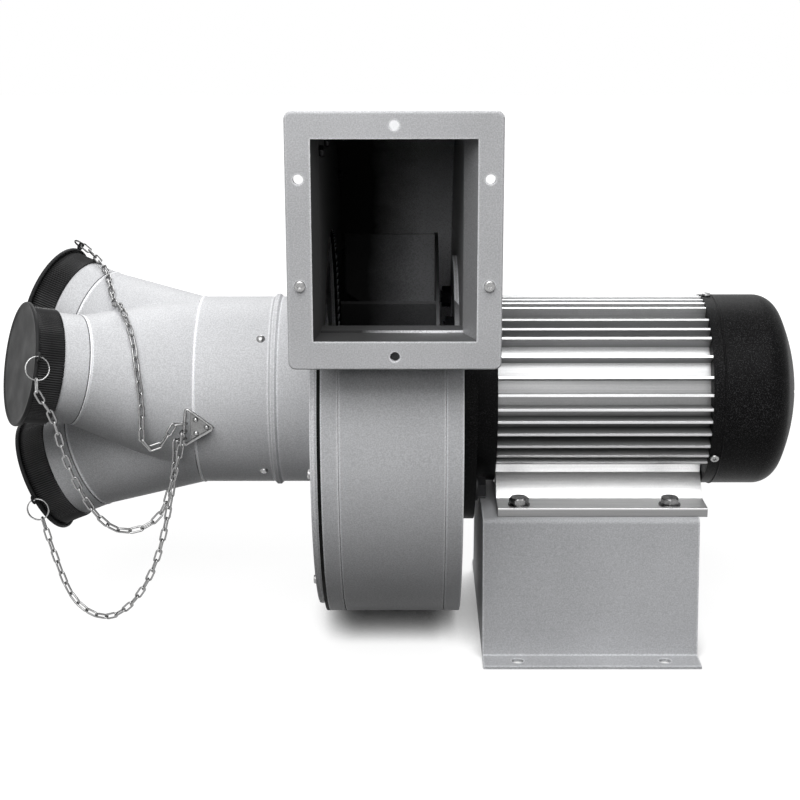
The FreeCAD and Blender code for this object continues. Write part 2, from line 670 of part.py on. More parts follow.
def terminal_box():
    """Connection box cast to fit the barrel, open towards the lid."""
    body = new_body("terminal_box")
    left, right = ("terminal_middle %s terminal_length / 2" % sign for sign in "-+")
    outer = sketch_on(body, "XZ_Plane", "-terminal_face")
    rectangle(outer, left, right, "-terminal_width / 2", "terminal_width / 2")
    block = pad(body, outer, "terminal_face - frame_bore + 8")
    soften(body, block, "Fillet", 6, lambda edge: runs_along(edge, Vector(0, 1, 0)))
    barrel = sketch_on(body, "YZ_Plane", left + " - 1")
    hole(barrel, 0, 0, "frame_radius")
    pocket(body, barrel, "terminal_length + 2")
    inside = sketch_on(body, "XZ_Plane", "-terminal_face")
    rectangle(inside, left + " + terminal_wall", right + " - terminal_wall",
              "terminal_wall - terminal_width / 2", "terminal_width / 2 - terminal_wall")
    pocket(body, inside, "terminal_depth - terminal_floor")
    bosses = sketch_on(body, "XZ_Plane", "-terminal_face")
    for across, up in terminal_screw_spots():
        hole(bosses, across, up, "terminal_screw * 1.1")
    pad(body, bosses, "terminal_depth - terminal_floor + 1")
    tapped = sketch_on(body, "XZ_Plane", "-terminal_face - 1")
    for across, up in terminal_screw_spots():
        hole(tapped, across, up, "terminal_screw / 2")
    pocket(body, tapped, 14)
    entry = sketch_on(body, "XY_Plane", "-terminal_width / 2 - 1")
    hole(entry, "terminal_middle", "terminal_face - terminal_depth / 2 + 3", "gland_radius - 2")
    pocket(body, entry, "terminal_wall + 2")
    lift_to_shaft(body)


def terminal_lid():
    body = new_body("terminal_lid")
    plate = sketch_on(body, "XZ_Plane", "-terminal_face - terminal_lid_sheet")
    rectangle(plate, "terminal_middle - terminal_length / 2", "terminal_middle + terminal_length / 2",
              "-terminal_width / 2", "terminal_width / 2")
    slab = pad(body, plate, "terminal_lid_sheet")
    soften(body, slab, "Fillet", 6, lambda edge: runs_along(edge, Vector(0, 1, 0)))
    holes = sketch_on(body, "XZ_Plane", "-terminal_face - terminal_lid_sheet - 1")
    for across, up in terminal_screw_spots():
        hole(holes, across, up, "terminal_screw / 2 + 0.3")
    pocket(body, holes, "terminal_lid_sheet + 2")
    lift_to_shaft(body)


def terminal_lid_screws():
    screws = []
    for across, up in terminal_screw_spots():
        spot = (across, "terminal_face + terminal_lid_sheet", "shaft_height + (%s)" % up)
        screws.append(fuse(cylinder("terminal_screw * 0.9", 2.5, spot, "+y"),
                           cylinder("terminal_screw / 2", "terminal_lid_sheet + 10", spot, "-y")))
    keep(group(*screws), "terminal_lid_screws")


def cable_gland():
    """Cable entry on the box's underside: a flats collar, a domed nut and a clear bore."""
    at = ("terminal_middle", "terminal_face - terminal_depth / 2 + 3",
          "shaft_height - terminal_width / 2")
    inner = at[:2] + (at[2] + " + terminal_wall + 3",)
    whole = fuse(hexagon("gland_radius * 2", 5, at, "-z"),
                 cylinder("gland_radius * 0.9", "gland_length", at, "-z"),
                 cylinder("gland_radius - 2.2", "terminal_wall + 6", inner, "-z"),
                 cylinder("gland_radius", 3, inner, "-z"))
    bore = cylinder("gland_radius * 0.5", "gland_length + 20", at[:2] + (at[2] + " + 15",), "-z")
    keep(cut(whole, bore), "cable_gland")


def terminal_block():
    """Moulded block with six studs on the box's floor."""
    pieces = [box(("terminal_middle - block_length / 2", "terminal_seat", "shaft_height - block_width / 2"),
                  ("block_length", "block_depth", "block_width"))]
    for along in ("- block_pitch", "", "+ block_pitch"):
        for level in ("- 7", "+ 7"):
            spot = ("terminal_middle " + along, "terminal_seat + block_depth - 1", "shaft_height " + level)
            pieces += [cylinder(2, 10, spot, "+y"), hexagon(7, 3.6, spot, "+y")]
    keep(fuse(*pieces), "terminal_block")


# Spiral casing


def volute_corners(inset, mouth="mouth"):
    """The casing's outline about the shaft, clockwise from the top of the mouth to its floor."""
    step = "volute_step / 2"
    near = "(volute_radius - volute_step - (%s))" % inset
    reach = "(%s / tongue_span)" % near
    return [
        (mouth, "volute_top - (%s)" % inset),
        ("-" + step, "volute_top - (%s)" % inset,
         ("volute_radius + 2 * volute_step - (%s)" % inset, "-" + step, step, True)),
        ("volute_radius + 1.5 * volute_step - (%s)" % inset, step,
         ("volute_radius + volute_step - (%s)" % inset, step, step, True)),
        (step, "-(volute_radius + volute_step / 2 - (%s))" % inset,
         ("volute_radius - (%s)" % inset, step, "-" + step, True)),
        ("volute_step / 2 - volute_radius + (%s)" % inset, "-" + step,
         (near, "-" + step, "-" + step, True)),
        ("-{0} + (tongue_out + {0}) * {1}".format(step, reach),
         "-{0} + (tongue_rise + {0}) * {1}".format(step, reach),
         ("tongue_radius + (%s)" % inset, "tongue_out", "tongue_rise", False)),
        ("tongue_out", "volute_floor + (%s)" % inset),
        (mouth, "volute_floor + (%s)" % inset)]


def volute_strip(sketch, outer, inner):
    """The outline of a wall between two insets, open across the mouth."""
    way = volute_corners(inner)
    back = [corner[:2] for corner in way[::-1]]
    for i in range(len(way) - 1):
        arc = way[len(way) - 2 - i][2:]
        back[i] += tuple(entry[:3] + (not entry[3],) for entry in arc)
    outline(sketch, volute_corners(outer) + back)


def cover_screw_spots():
    """Screws just inside the cover's outline, each set out along the arc it belongs to."""
    step = "volute_step / 2"
    arcs = [("-" + step, step, "volute_radius + 2 * volute_step", (80, 50, 22)),
            (step, step, "volute_radius + volute_step", (-8, -38, -68)),
            (step, "-" + step, "volute_radius", (-98, -133, -174))]
    spots = []
    for across, up, radius, angles in arcs:
        for angle in angles:
            turn = math.radians(angle)
            spots.append(("%s + (%s - cover_screw_inset) * %.6f" % (across, radius, math.cos(turn)),
                          "%s + (%s - cover_screw_inset) * %.6f" % (up, radius, math.sin(turn))))
    spots.append(("mouth + cover_screw_inset", "volute_top - cover_screw_inset"))
    spots.append(("mouth / 2", "volute_top - cover_screw_inset"))
    return spots


def casing_side(label, start, rim_start, radius):
    """A side of the casing: a flat plate with a turned rim, and one round opening."""
    body = new_body(label)
    plate = sketch_on(body, "YZ_Plane", start)
    outline(plate, volute_corners(0))
    hole(plate, 0, 0, radius)
    pad(body, plate, "casing_sheet")
    rim = sketch_on(body, "YZ_Plane", rim_start)
    volute_strip(rim, 0, "casing_sheet")
    pad(body, rim, "rim_width")
    lift_to_shaft(body)
    return body


def scroll_motor_side():
    body = casing_side("scroll_motor_side", "casing_back - casing_sheet", "casing_back - rim_width",
                       "spigot_radius + 0.3")
    holes = sketch_on(body, "YZ_Plane", "casing_back - casing_sheet - 1")
    for across, up in bolt_spots("flange_pitch_circle"):
        hole(holes, across, up, "flange_bolt / 2 + 1")
    pocket(body, holes, "casing_sheet + 2")


def scroll_inlet_side():
    """The inlet side, with an opening that the impeller passes through."""
    body = casing_side("scroll_inlet_side", "casing_front", "casing_front", "access_radius")
    holes = sketch_on(body, "YZ_Plane", "casing_front - 1")
    for across, up in cover_screw_spots():
        hole(holes, across, up, "cover_screw / 2 + 0.3")
    pocket(body, holes, "casing_sheet + 2")


def scroll_wrapper():
    """The curved wall: a liner inside the turned rims and a raised band between them."""
    body = new_body("scroll_wrapper")
    liner = sketch_on(body, "YZ_Plane", "casing_front + casing_sheet")
    volute_strip(liner, "casing_sheet + lap_gap", "casing_sheet + lap_gap + liner_sheet")
    pad(body, liner, "casing_width - 2 * casing_sheet")
    band = sketch_on(body, "YZ_Plane", "casing_front + rim_width + 0.5")
    volute_strip(band, 0, "casing_sheet + lap_gap + liner_sheet / 2")
    pad(body, band, "casing_width - 2 * rim_width - 1")
    lift_to_shaft(body)


def motor_mount_ring():
    """Stiffening ring welded inside the motor side."""
    body = new_body("motor_mount_ring")
    ring = sketch_on(body, "YZ_Plane", "casing_back - casing_sheet - ring_sheet")
    hole(ring, 0, 0, "ring_radius")
    hole(ring, 0, 0, "spigot_radius + 0.3")
    for across, up in bolt_spots("flange_pitch_circle"):
        hole(ring, across, up, "flange_bolt / 2 + 1")
    pad(body, ring, "ring_sheet")
    lift_to_shaft(body)


def outlet_duct():
    """Sheet transition from the casing's mouth to the wider outlet flange."""
    body = new_body("outlet_duct")
    for kind, wall in (("AdditiveLoft", "0"), ("SubtractiveLoft", "casing_sheet")):
        near = sketch_on(body, "XZ_Plane", "-mouth")
        rectangle(near, "casing_front + " + wall, "casing_back - " + wall,
                  "volute_floor + " + wall, "volute_top - " + wall)
        far = sketch_on(body, "XZ_Plane", "outlet_back")
        half = "(outlet_width / 2 + casing_sheet - %s)" % wall
        rectangle(far, "outlet_middle - " + half, "outlet_middle + " + half,
                  "volute_floor + " + wall, "volute_top - " + wall)
        loft(body, kind, near, far)
    lift_to_shaft(body)


def outlet_hole_spots():
    """Flange holes: one in the middle of the top and the bottom, two in each side."""
    across = "outlet_middle %s outlet_hole_pitch / 2"
    centre = "outlet_centre - outlet_flange_drop"
    return [("outlet_middle", centre + " + outlet_hole_middle"),
            ("outlet_middle", centre + " - outlet_hole_middle"),
            (across % "-", centre + " + outlet_hole_upper"),
            (across % "+", centre + " + outlet_hole_upper"),
            (across % "-", centre + " - outlet_hole_lower"),
            (across % "+", centre + " - outlet_hole_lower")]


def outlet_flange():
    """Flat rectangular flange with softened corners and a row of holes in each side."""
    body = new_body("outlet_flange")
    plate = sketch_on(body, "XZ_Plane", "outlet_back")
    middle, centre = "outlet_middle", "outlet_centre - outlet_flange_drop"
    rectangle(plate, middle + " - outlet_flange_width / 2", middle + " + outlet_flange_width / 2",
              centre + " - outlet_flange_height / 2", centre + " + outlet_flange_height / 2")
    rectangle(plate, middle + " - outlet_width / 2", middle + " + outlet_width / 2",
              "volute_floor + casing_sheet", "volute_top - casing_sheet")
    for across, up in outlet_hole_spots():
        hole(plate, across, up, "outlet_hole / 2")
    slab = pad(body, plate, "outlet_flange_sheet")
    left = value("outlet_middle - outlet_flange_width / 2")
    right = value("outlet_middle + outlet_flange_width / 2")
    rounded = soften(body, slab, "Fillet", "outlet_corner",
                     lambda edge: runs_along(edge, Vector(0, 1, 0))
                     and not left + 1 < edge.CenterOfMass.x < right - 1)
    front, wide, tall = -value("outlet_reach"), value("outlet_width"), value("duct_height")
    soften(body, rounded, "Fillet", "outlet_edge",
           lambda edge: edge.BoundBox.YMax < front + 0.01 and (
               edge.BoundBox.XLength > wide + 5 or edge.BoundBox.ZLength > tall
               or edge.CenterOfMass.x < left + 3 or edge.CenterOfMass.x > right - 3))
    lift_to_shaft(body)


def flange_screws():
    """Two star-headed screws with nuts, left in the lower side holes."""
    screws = []
    for across, up in outlet_hole_spots()[4:]:
        spot = (across, "-outlet_reach", "shaft_height + " + up)
        back = (across, "-outlet_back", spot[2])
        head = cylinder("outlet_hole * 0.85", 4, spot, "-y")
        star = [box((across + " - " + wide, "-outlet_reach - 5", spot[2] + " - " + tall),
                    ("2 * " + wide, 3, "2 * " + tall)) for wide, tall in (("3.6", "0.9"), ("0.9", "3.6"))]
        screws.append(fuse(cut(head, *star),
                           cylinder("outlet_hole / 2 - 0.3", "outlet_flange_sheet + 8", spot, "+y"),
                           hexagon(13, 5.5, back, "+y")))
    keep(group(*screws), "flange_screws")


# Inlet cover, tube and branches


def cover_layer(label, start, thickness, inset, radius):
    """One layer of the inlet cover, cut to the casing's outline with a round opening."""
    body = new_body(label)
    layer = sketch_on(body, "YZ_Plane", start)
    outline(layer, volute_corners(inset, "mouth + (%s)" % inset))
    hole(layer, 0, 0, radius)
    for across, up in cover_screw_spots():
        hole(layer, across, up, "cover_screw / 2 + 0.3")
    pad(body, layer, thickness)
    lift_to_shaft(body)


def inlet_cover():
    """Gasket, backing sheet and inlet plate, one on the other."""
    cover_layer("inlet_gasket", "cover_back", "gasket_sheet", 0, "access_radius")
    cover_layer("cover_backing", "cover_seam", "backing_sheet", "cover_inset", "access_radius")
    cover_layer("inlet_plate", "tube_start", "cover_sheet", "cover_inset",
                "tube_radius - tube_sheet")


def plate_screws():
    """Cover screws with nuts behind the casing's inlet side."""
    screws = []
    stack = "cover_sheet + backing_sheet + gasket_sheet + casing_sheet"
    for across, up in cover_screw_spots():
        spot = (across, "shaft_height + " + up)
        screws.append(fuse(
            cylinder("cover_screw * 0.85", 3, ("tube_start - 3",) + spot),
            cylinder("cover_screw / 2", stack + " + 6", ("tube_start",) + spot),
            hexagon("cover_screw * 1.6", 4, ("casing_front + casing_sheet",) + spot, "+x")))
    keep(group(*screws), "plate_screws")


def main_tube():
    """Round inlet tube with a rolled bead and a weld fillet against the plate."""
    body = new_body("main_tube")
    inner, outer, middle = "tube_radius - tube_sheet", "tube_radius", "bead_middle"
    revolve(body, [
        ("tube_start", inner), ("tube_start", outer + " + 3"), ("tube_start - 3", outer),
        (middle + " + bead_width / 2", outer), (middle + " + bead_width / 5", outer + "+ bead_height"),
        (middle + " - bead_width / 5", outer + "+ bead_height"), (middle + " - bead_width / 2", outer),
        ("tube_end", outer), ("tube_end", inner)])
    lift_to_shaft(body)


def tube_rivets():
    """Pan-head rivets in a row round the tube beside the bead."""
    rivets = []
    for angle in (-135, -45, 45, 135):
        rivet = primitive("Cone", (
            "tube_screws", "(tube_radius - 0.3) * %.6f" % -math.sin(math.radians(angle)),
            "shaft_height + (tube_radius - 0.3) * %.6f" % math.cos(math.radians(angle))),
            Radius1=3.6, Radius2=2.2, Height=2.6)
        rivet.Placement.Rotation = Rotation(Vector(1, 0, 0), angle)
        rivets.append(rivet)
    keep(cut(group(*rivets), cylinder("tube_radius", "bead_width * 2",
                                      ("tube_screws - bead_width", 0, "shaft_height"))),
         "tube_rivets")


def branch_direction(name):
    """Unit vector along a branch, from the junction outwards."""
    lean = math.radians(value("branch_spread_angle"))
    turn = math.radians(value("branch_turn_angle") + BRANCH_STEPS[name])
    straight = Vector(-math.cos(lean), -math.sin(lean) * math.cos(turn),
                      math.sin(lean) * math.sin(turn))
    lift = Rotation(Vector(0, 1, 0), value("branch_lift_angle"))
    swing = Rotation(Vector(0, 0, 1), value("branch_swing_angle"))
    return swing.multVec(lift.multVec(straight))


def branch_frame(name):
    """Directions of a branch: along it, towards its front side and upwards across it."""
    along = branch_direction(name)
    front = Vector(0, 0, 1).cross(along).normalize()
    return along, front, along.cross(front)


def along_branch(thing, name, distance=None):
    """Puts an object's X axis, or a circle's Z axis, on a branch."""
    along, front, up = branch_frame(name)
    order = (along, front, up, "XYZ") if distance is None else (front, up, along, "ZXY")
    thing.Placement = Placement(Vector(), Rotation(*order))
    start = "(%s)" % (0 if distance is None else distance)
    thing.setExpression("Placement.Base.x", formula("branch_origin + %s * %.7f" % (start, along.x)))
    thing.setExpression("Placement.Base.y", formula("%s * %.7f" % (start, along.y)))
    thing.setExpression("Placement.Base.z", formula("shaft_height + %s * %.7f" % (start, along.z)))
    return thing


def branch_cone(name, inset):
    """Ruled solid from the tube's full end circle to a spout's circle."""
    wide = doc.addObject("Part::Circle", "Circle")
    wide.Placement.Rotation = Rotation(Vector(0, -1, 0), Vector(0, 0, 1), Vector(-1, 0, 0), "ZXY")
    bind(wide, Radius="tube_radius - " + inset)
    wide.setExpression("Placement.Base.x", formula("tube_end"))
    wide.setExpression("Placement.Base.z", formula("shaft_height"))
    narrow = bind(doc.addObject("Part::Circle", "Circle"), Radius="spout_radius - " + inset)
    along_branch(narrow, name, "spout_start")
    cone = doc.addObject("Part::Loft", "Loft")
    cone.Sections = [wide, narrow]
    cone.Solid = True
    cone.Ruled = True
    return cone


def manifold():
    """Three cones that run together where they leave the tube."""
    outer = fuse(*[branch_cone(name, "0") for name in BRANCH_STEPS])
    inner = fuse(*[branch_cone(name, "tube_sheet") for name in BRANCH_STEPS])
    keep(cut(outer, inner), "manifold")


def spout(name):
    """Short straight tube that a cap slides over."""
    body = new_body("spout_" + name)
    inner = "spout_radius - tube_sheet"
    revolve(body, [("spout_start", inner), ("spout_start", "spout_radius"),
                   ("spout_end", "spout_radius"), ("spout_end", inner)])
    along_branch(body, name)


def cap(name):
    """Lid with a rolled edge and an ear, and its rubber band."""
    lid = new_body("lid_" + name)
    outer = "cap_end + lid_sheet"
    revolve(lid, [
        ("cap_end", 0), ("cap_end", "lid_radius - lid_roll"),
        ("cap_end - 1", "lid_radius - lid_roll + 0.4"), ("cap_end - 1", "lid_radius - 0.4"),
        ("cap_end", "lid_radius"), (outer, "lid_radius"),
        (outer + " + 1", "lid_radius - 0.5"), (outer + " + 1", "lid_radius - lid_roll"),
        (outer, "lid_radius - lid_roll - 0.8"), (outer, 0)])
    turn = math.radians(EAR_TURNS[name])
    spot = ["ear_reach * %.6f" % part for part in (math.cos(turn), math.sin(turn))]
    ear = sketch_on(lid, "YZ_Plane", "cap_end")
    hole(ear, spot[0], spot[1], "ear_radius")
    pad(lid, ear, "lid_sheet")
    eye = sketch_on(lid, "YZ_Plane", "cap_end - 3")
    hole(eye, spot[0], spot[1], "ear_hole")
    pocket(lid, eye, "lid_sheet + 6")
    along_branch(lid, name)
    band = new_body("band_" + name)
    inner = "spout_radius + cap_grip"
    revolve(band, [("cap_start", inner), ("cap_start", inner + " + band_wall - 0.6"),
                   ("cap_start + 2", inner + " + band_wall"), ("cap_end", inner + " + band_wall"),
                   ("cap_end", inner)])
    along_branch(band, name)


def ear_spot(name):
    """The ear's hole and, at right angles to its axis, the direction in which its ring hangs."""
    along, front, up = branch_frame(name)
    turn, hang = math.radians(EAR_TURNS[name]), math.radians(HANG_TURNS[name])
    out = front * math.cos(turn) + up * math.sin(turn)
    hole_at = Vector(value("branch_origin"), 0, value("shaft_height"))
    hole_at += along * value("cap_end + lid_sheet / 2") + out * value("ear_reach")
    return hole_at, along, front * math.cos(hang) + up * math.sin(hang)


def hanger(name):
    """Round wire ring through the lid's ear."""
    body = new_body("ring_" + name)
    radius, wire = HANGERS[name], "hanger_wire"
    revolve(body, [("%s * %.6f" % (wire, math.cos(math.radians(turn))),
                    "%s + %s * %.6f" % (radius, wire, math.sin(math.radians(turn))))
                   for turn in range(0, 360, 45)])
    spot, along, hang = ear_spot(name)
    centre = spot + hang * value(radius)
    body.Placement = Placement(centre, Rotation(hang.cross(along), along, hang, "XYZ"))


def branches():
    for name in BRANCH_STEPS:
        spout(name)
        cap(name)
        hanger(name)


# Chains and their bracket


def chain_bracket():
    """Triangle of wire on a small plate, with one bar left free for the chains."""
    body = new_body("chain_bracket")
    corners = [Vector(*corner, 0) for corner in BRACKET_CORNERS]
    middle = (corners[0] + corners[1] + corners[2]) / 3
    wire = sketch_on(body, "XZ_Plane", "bracket_face")
    for side in (1, -1):
        ring = []
        for i, here in enumerate(corners):
            before = (here - corners[i - 1]).normalize()
            after = (corners[(i + 1) % 3] - here).normalize()
            spur = (before - after) / math.sqrt(1 - before.dot(after) ** 2)
            if spur.dot(here - middle) < 0:
                spur = -spur
            ring.append(("tube_end + %.4f + bracket_wire * %.6f" % (here.x, side * spur.x),
                         "%.4f + bracket_wire * %.6f" % (here.y, side * spur.y)))
        outline(wire, ring)
    pad(body, wire, "2 * bracket_wire")
    plate = sketch_on(body, "XZ_Plane", "bracket_face - bracket_sheet")
    cut_at = -2.2
    edge = [(cut_at, corners[i].y + (corners[1].y - corners[i].y) * (cut_at - corners[i].x)
             / (corners[1].x - corners[i].x)) for i in (0, 2)]
    outline(plate, [("tube_end + %.4f" % across, "%.4f" % up)
                    for across, up in (edge[0], (corners[1].x, corners[1].y), edge[1])])
    for across, up in BRACKET_RIVETS:
        hole(plate, "tube_end + %s" % across, up, "bracket_rivet / 2")
    pad(body, plate, "bracket_sheet")
    lift_to_shaft(body)


def bracket_rivets():
    """Domed rivets with spacers that stand on the tube."""
    rivets = []
    for across, up in BRACKET_RIVETS:
        at = ("tube_end + %s" % across, "-bracket_face", "shaft_height + %s" % up)
        back = (at[0], "bracket_sheet - bracket_face", at[2])
        rivets.append(fuse(primitive("Cone", at, "-y", Radius1="bracket_rivet",
                                     Radius2="bracket_rivet * 0.5", Height="bracket_rivet * 0.7"),
                           cylinder("bracket_rivet / 2", 4, at, "+y"),
                           cylinder("bracket_rivet", "bracket_face - tube_radius + 12", back, "+y")))
    barrel = cylinder("tube_radius", "tube_length", ("tube_end", 0, "shaft_height"))
    keep(cut(group(*rivets), barrel), "bracket_rivets")


def link_solid(centre, along, side, length):
    """One straight chain link: a flat ring of eight sides, cut square from the wire's thickness."""
    wire, half = value("link_wire"), value("link_width") / 2
    through = along.cross(side).normalize()
    wires = []
    for grow in (wire, 0):
        long, wide = length / 2 + grow, half + grow
        slope = 0.62 * wide
        corners = [(long, wide - slope), (long - slope, wide), (slope - long, wide),
                   (-long, wide - slope), (-long, slope - wide), (slope - long, -wide),
                   (long - slope, -wide), (long, slope - wide)]
        points = [centre + along * a + side * b - through * (wire / 2) for a, b in corners]
        wires.append(Part.makePolygon(points + points[:1]))
    return Part.makeFace(wires, "Part::FaceMakerBullseye").extrude(through * wire)


def walk(curve, start, pitch):
    """The parameter one pitch further along a curve, measured straight across."""
    here, low, high = curve.value(start), start, curve.LastParameter
    if (curve.value(high) - here).Length < pitch and high - start < 0.2 * high:
        return high + pitch - (curve.value(high) - here).Length
    high = min(high, start + 3 * pitch * high / curve.length())
    for _ in range(40):
        middle = (low + high) / 2
        low, high = (middle, high) if (curve.value(middle) - here).Length < pitch else (low, middle)
    return low


def even_knots(curve, pitch):
    """Points a whole number of links apart, with the pitch fitted so that the last one ends it."""
    count = max(3, round(curve.length() / pitch))
    low, high = 0.85 * pitch, 1.15 * pitch
    for _ in range(40):
        pitch, spots = (low + high) / 2, [curve.FirstParameter]
        while len(spots) <= count and spots[-1] < curve.LastParameter:
            spots.append(walk(curve, spots[-1], pitch))
        low, high = (low, pitch) if len(spots) <= count or spots[-1] > curve.LastParameter else (
            pitch, high)
    points = [curve.value(min(spot, curve.LastParameter)) for spot in spots[:count]]
    return points + [curve.value(curve.LastParameter)], pitch


def chain(name):
    """Straight-link chain from the cap's ring to the bracket, each link turned a quarter."""
    wire, slack, pitch = value("link_wire"), value("link_slack"), value("link_pitch")
    nest, up = (wire + slack) / 2, Vector(0, 0, 1)
    spot, along, hang = ear_spot(name)
    radius = value(HANGERS[name])
    held, held_side = ((spot + (hang - along) * radius, hang) if name == "upper"
                       else (spot + hang * (2 * radius), along))
    drop, out_x, out_y = BRACKET_HOLDS[name]
    out = Vector(out_x, out_y, 0).normalize()
    top, low = BRACKET_CORNERS[0], BRACKET_CORNERS[2]
    share = (top[1] + drop) / (top[1] - low[1])
    bar = Vector(value("tube_end") + top[0] + (low[0] - top[0]) * share,
                 -value("bracket_face + bracket_wire"), value("shaft_height") - drop)
    behind = value("bracket_wire") + slack + wire / 2
    far = bar + out * (pitch + slack + wire - behind)
    last = far - out * nest if name == "upper" else far + up * nest
    end = Vector(value("tube_end"), 0, value("shaft_height"))
    way = [end + Vector(*point) for point in CHAIN_ROUTES[name]]
    way = [held - (way[0] - held).normalize() * nest] + way + [last]
    curve = Part.BSplineCurve()
    curve.interpolate(way)
    knots, fitted = even_knots(curve, pitch)
    steps = [(there - here).normalize() for here, there in zip(knots, knots[1:])]
    side = steps[0].cross(held_side).normalize()
    sides = []
    for step in steps:
        side = (side - step * side.dot(step)).normalize()
        sides.append(side)
    wanted = up if name == "upper" else out
    if len(steps) % 2 == 0:
        wanted = steps[-1].cross(wanted)
    spare = math.atan2(steps[-1].dot(sides[-1].cross(wanted)), sides[-1].dot(wanted))
    spare = math.remainder(spare, math.pi)
    links = []
    for i, (step, side) in enumerate(zip(steps, sides)):
        turn = spare * i / (len(steps) - 1) + (math.pi / 2 if i % 2 else 0)
        turned = side * math.cos(turn) + step.cross(side) * math.sin(turn)
        links.append(link_solid((knots[i] + knots[i + 1]) / 2, step, turned, fitted + slack))
    links.append(link_solid(bar + out * ((pitch + slack + wire) / 2 - behind), out, up.cross(out),
                            pitch + slack))
    made = doc.addObject("Part::Feature", "Chain")
    made.Shape = Part.makeCompound(links)
    keep(made, "chain_" + name)


def chains():
    for name in BRANCH_STEPS:
        chain(name)


# Impeller


def impeller_hub():
    """Keyed hub with a flange behind the wheel's back disc."""
    body = new_body("impeller_hub")
    start, end = "shaft_start", "shaft_start + hub_length"
    revolve(body, [
        (start, "shaft_radius"), (start, "hub_radius - 3"), (start + " + 3", "hub_radius"),
        ("wheel_back", "hub_radius"), ("wheel_back", "hub_flange_radius"),
        ("wheel_back + hub_flange_sheet", "hub_flange_radius"),
        ("wheel_back + hub_flange_sheet", "hub_radius"), (end, "hub_radius"),
        (end, "shaft_radius")])
    key = sketch_on(body, "YZ_Plane", "shaft_start - 1")
    rectangle(key, "-key_width / 2", "key_width / 2", "shaft_radius - 4", "key_seat + key_height + 0.2")
    pocket(body, key, "hub_length + 2")
    holes = sketch_on(body, "YZ_Plane", "wheel_start")
    for across, up in bolt_spots("wheel_bolt_circle", 30, 6):
        hole(holes, across, up, "wheel_bolt / 2 + 0.2")
    pocket(body, holes, "wheel_sheet + hub_flange_sheet + 2")
    lift_to_shaft(body)


def impeller_wheel():
    """Open paddle wheel: a back disc and flat radial blades that taper towards the inlet."""
    body = new_body("impeller_wheel")
    disc = sketch_on(body, "YZ_Plane", "wheel_start")
    hole(disc, 0, 0, "wheel_radius")
    hole(disc, 0, 0, "hub_radius")
    for across, up in bolt_spots("wheel_bolt_circle", 30, 6):
        hole(disc, across, up, "wheel_bolt / 2 + 0.2")
    pad(body, disc, "wheel_sheet")
    blade = sketch_on(body, "XZ_Plane", "-blade_sheet / 2")
    outline(blade, [("wheel_start + 1", "hub_radius + 20"), ("wheel_start + 1", "wheel_radius"),
                    ("blade_start", "wheel_radius"), ("blade_start", "hub_radius + 60"),
                    ("wheel_start - 25", "hub_radius + 20")])
    spread(body, pad(body, blade, "blade_sheet"), blade, "H_Axis", "blade_count")
    lift_to_shaft(body)


def hub_fixings():
    """End washer with its bolt, and six bolts through the wheel and the hub's flange."""
    height = "shaft_height"
    pieces = [fuse(cylinder("core_shaft_radius", 4, ("shaft_start - 4", 0, height)),
                   hexagon(17, 7, ("shaft_start - 11", 0, height), "+x"),
                   cylinder(4.8, 24, ("shaft_start - 4", 0, height)))]
    for across, up in bolt_spots("wheel_bolt_circle", 30, 6):
        spot = (across, "shaft_height + " + up)
        pieces.append(fuse(
            hexagon("wheel_bolt * 1.625", 5, ("wheel_start - 5",) + spot, "+x"),
            cylinder("wheel_bolt / 2", "wheel_sheet + hub_flange_sheet + 2", ("wheel_start",) + spot),
            hexagon("wheel_bolt * 1.625", 4.5, ("wheel_back + hub_flange_sheet",) + spot, "+x")))
    keep(group(*pieces), "hub_fixings")


def build():
    """Every sub-part, from the floor up and along the shaft."""
    fill_sheet()
    for make in (base_pedestal, motor_frame, motor_feet, foot_bolts, flange_end_shield,
                 flange_bolts, rear_end_shield, fan_cowl, cowl_screws, stator_core,
                 stator_windings, bearing_rings, motor_shaft, shaft_key, rotor_core, cooling_fan,
                 terminal_box, terminal_lid, terminal_lid_screws, cable_gland, terminal_block,
                 scroll_wrapper, scroll_inlet_side, scroll_motor_side, motor_mount_ring,
                 outlet_duct, outlet_flange, flange_screws, inlet_cover, plate_screws, main_tube,
                 tube_rivets, manifold, branches, chain_bracket, bracket_rivets, chains,
                 impeller_hub, impeller_wheel, hub_fixings):
        make()
    doc.recompute()


def export():
    """Writes each sub-part once it is known to be sound."""
    os.makedirs("parts", exist_ok=True)
    faults = [entry.Label for entry in doc.Objects
              if "Invalid" in entry.State or "Error" in entry.State]
    for thing in subparts:
        if thing.Shape.isNull() or not thing.Shape.isValid() or not thing.Shape.Solids:
            faults.append(thing.Label)
    if faults:
        raise RuntimeError("unsound: " + ", ".join(faults))
    for thing in subparts:
        thing.Shape.exportStep("parts/%s.step" % thing.Label)


build()
export()
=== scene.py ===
"""Looks of a material handling fan: finishes, fine pieces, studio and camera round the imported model."""

import logging
import math
from dataclasses import dataclass, field
from enum import Enum
from typing import Callable, Iterable, Sequence

import bpy
import numpy as np
from mathutils import Matrix, Vector


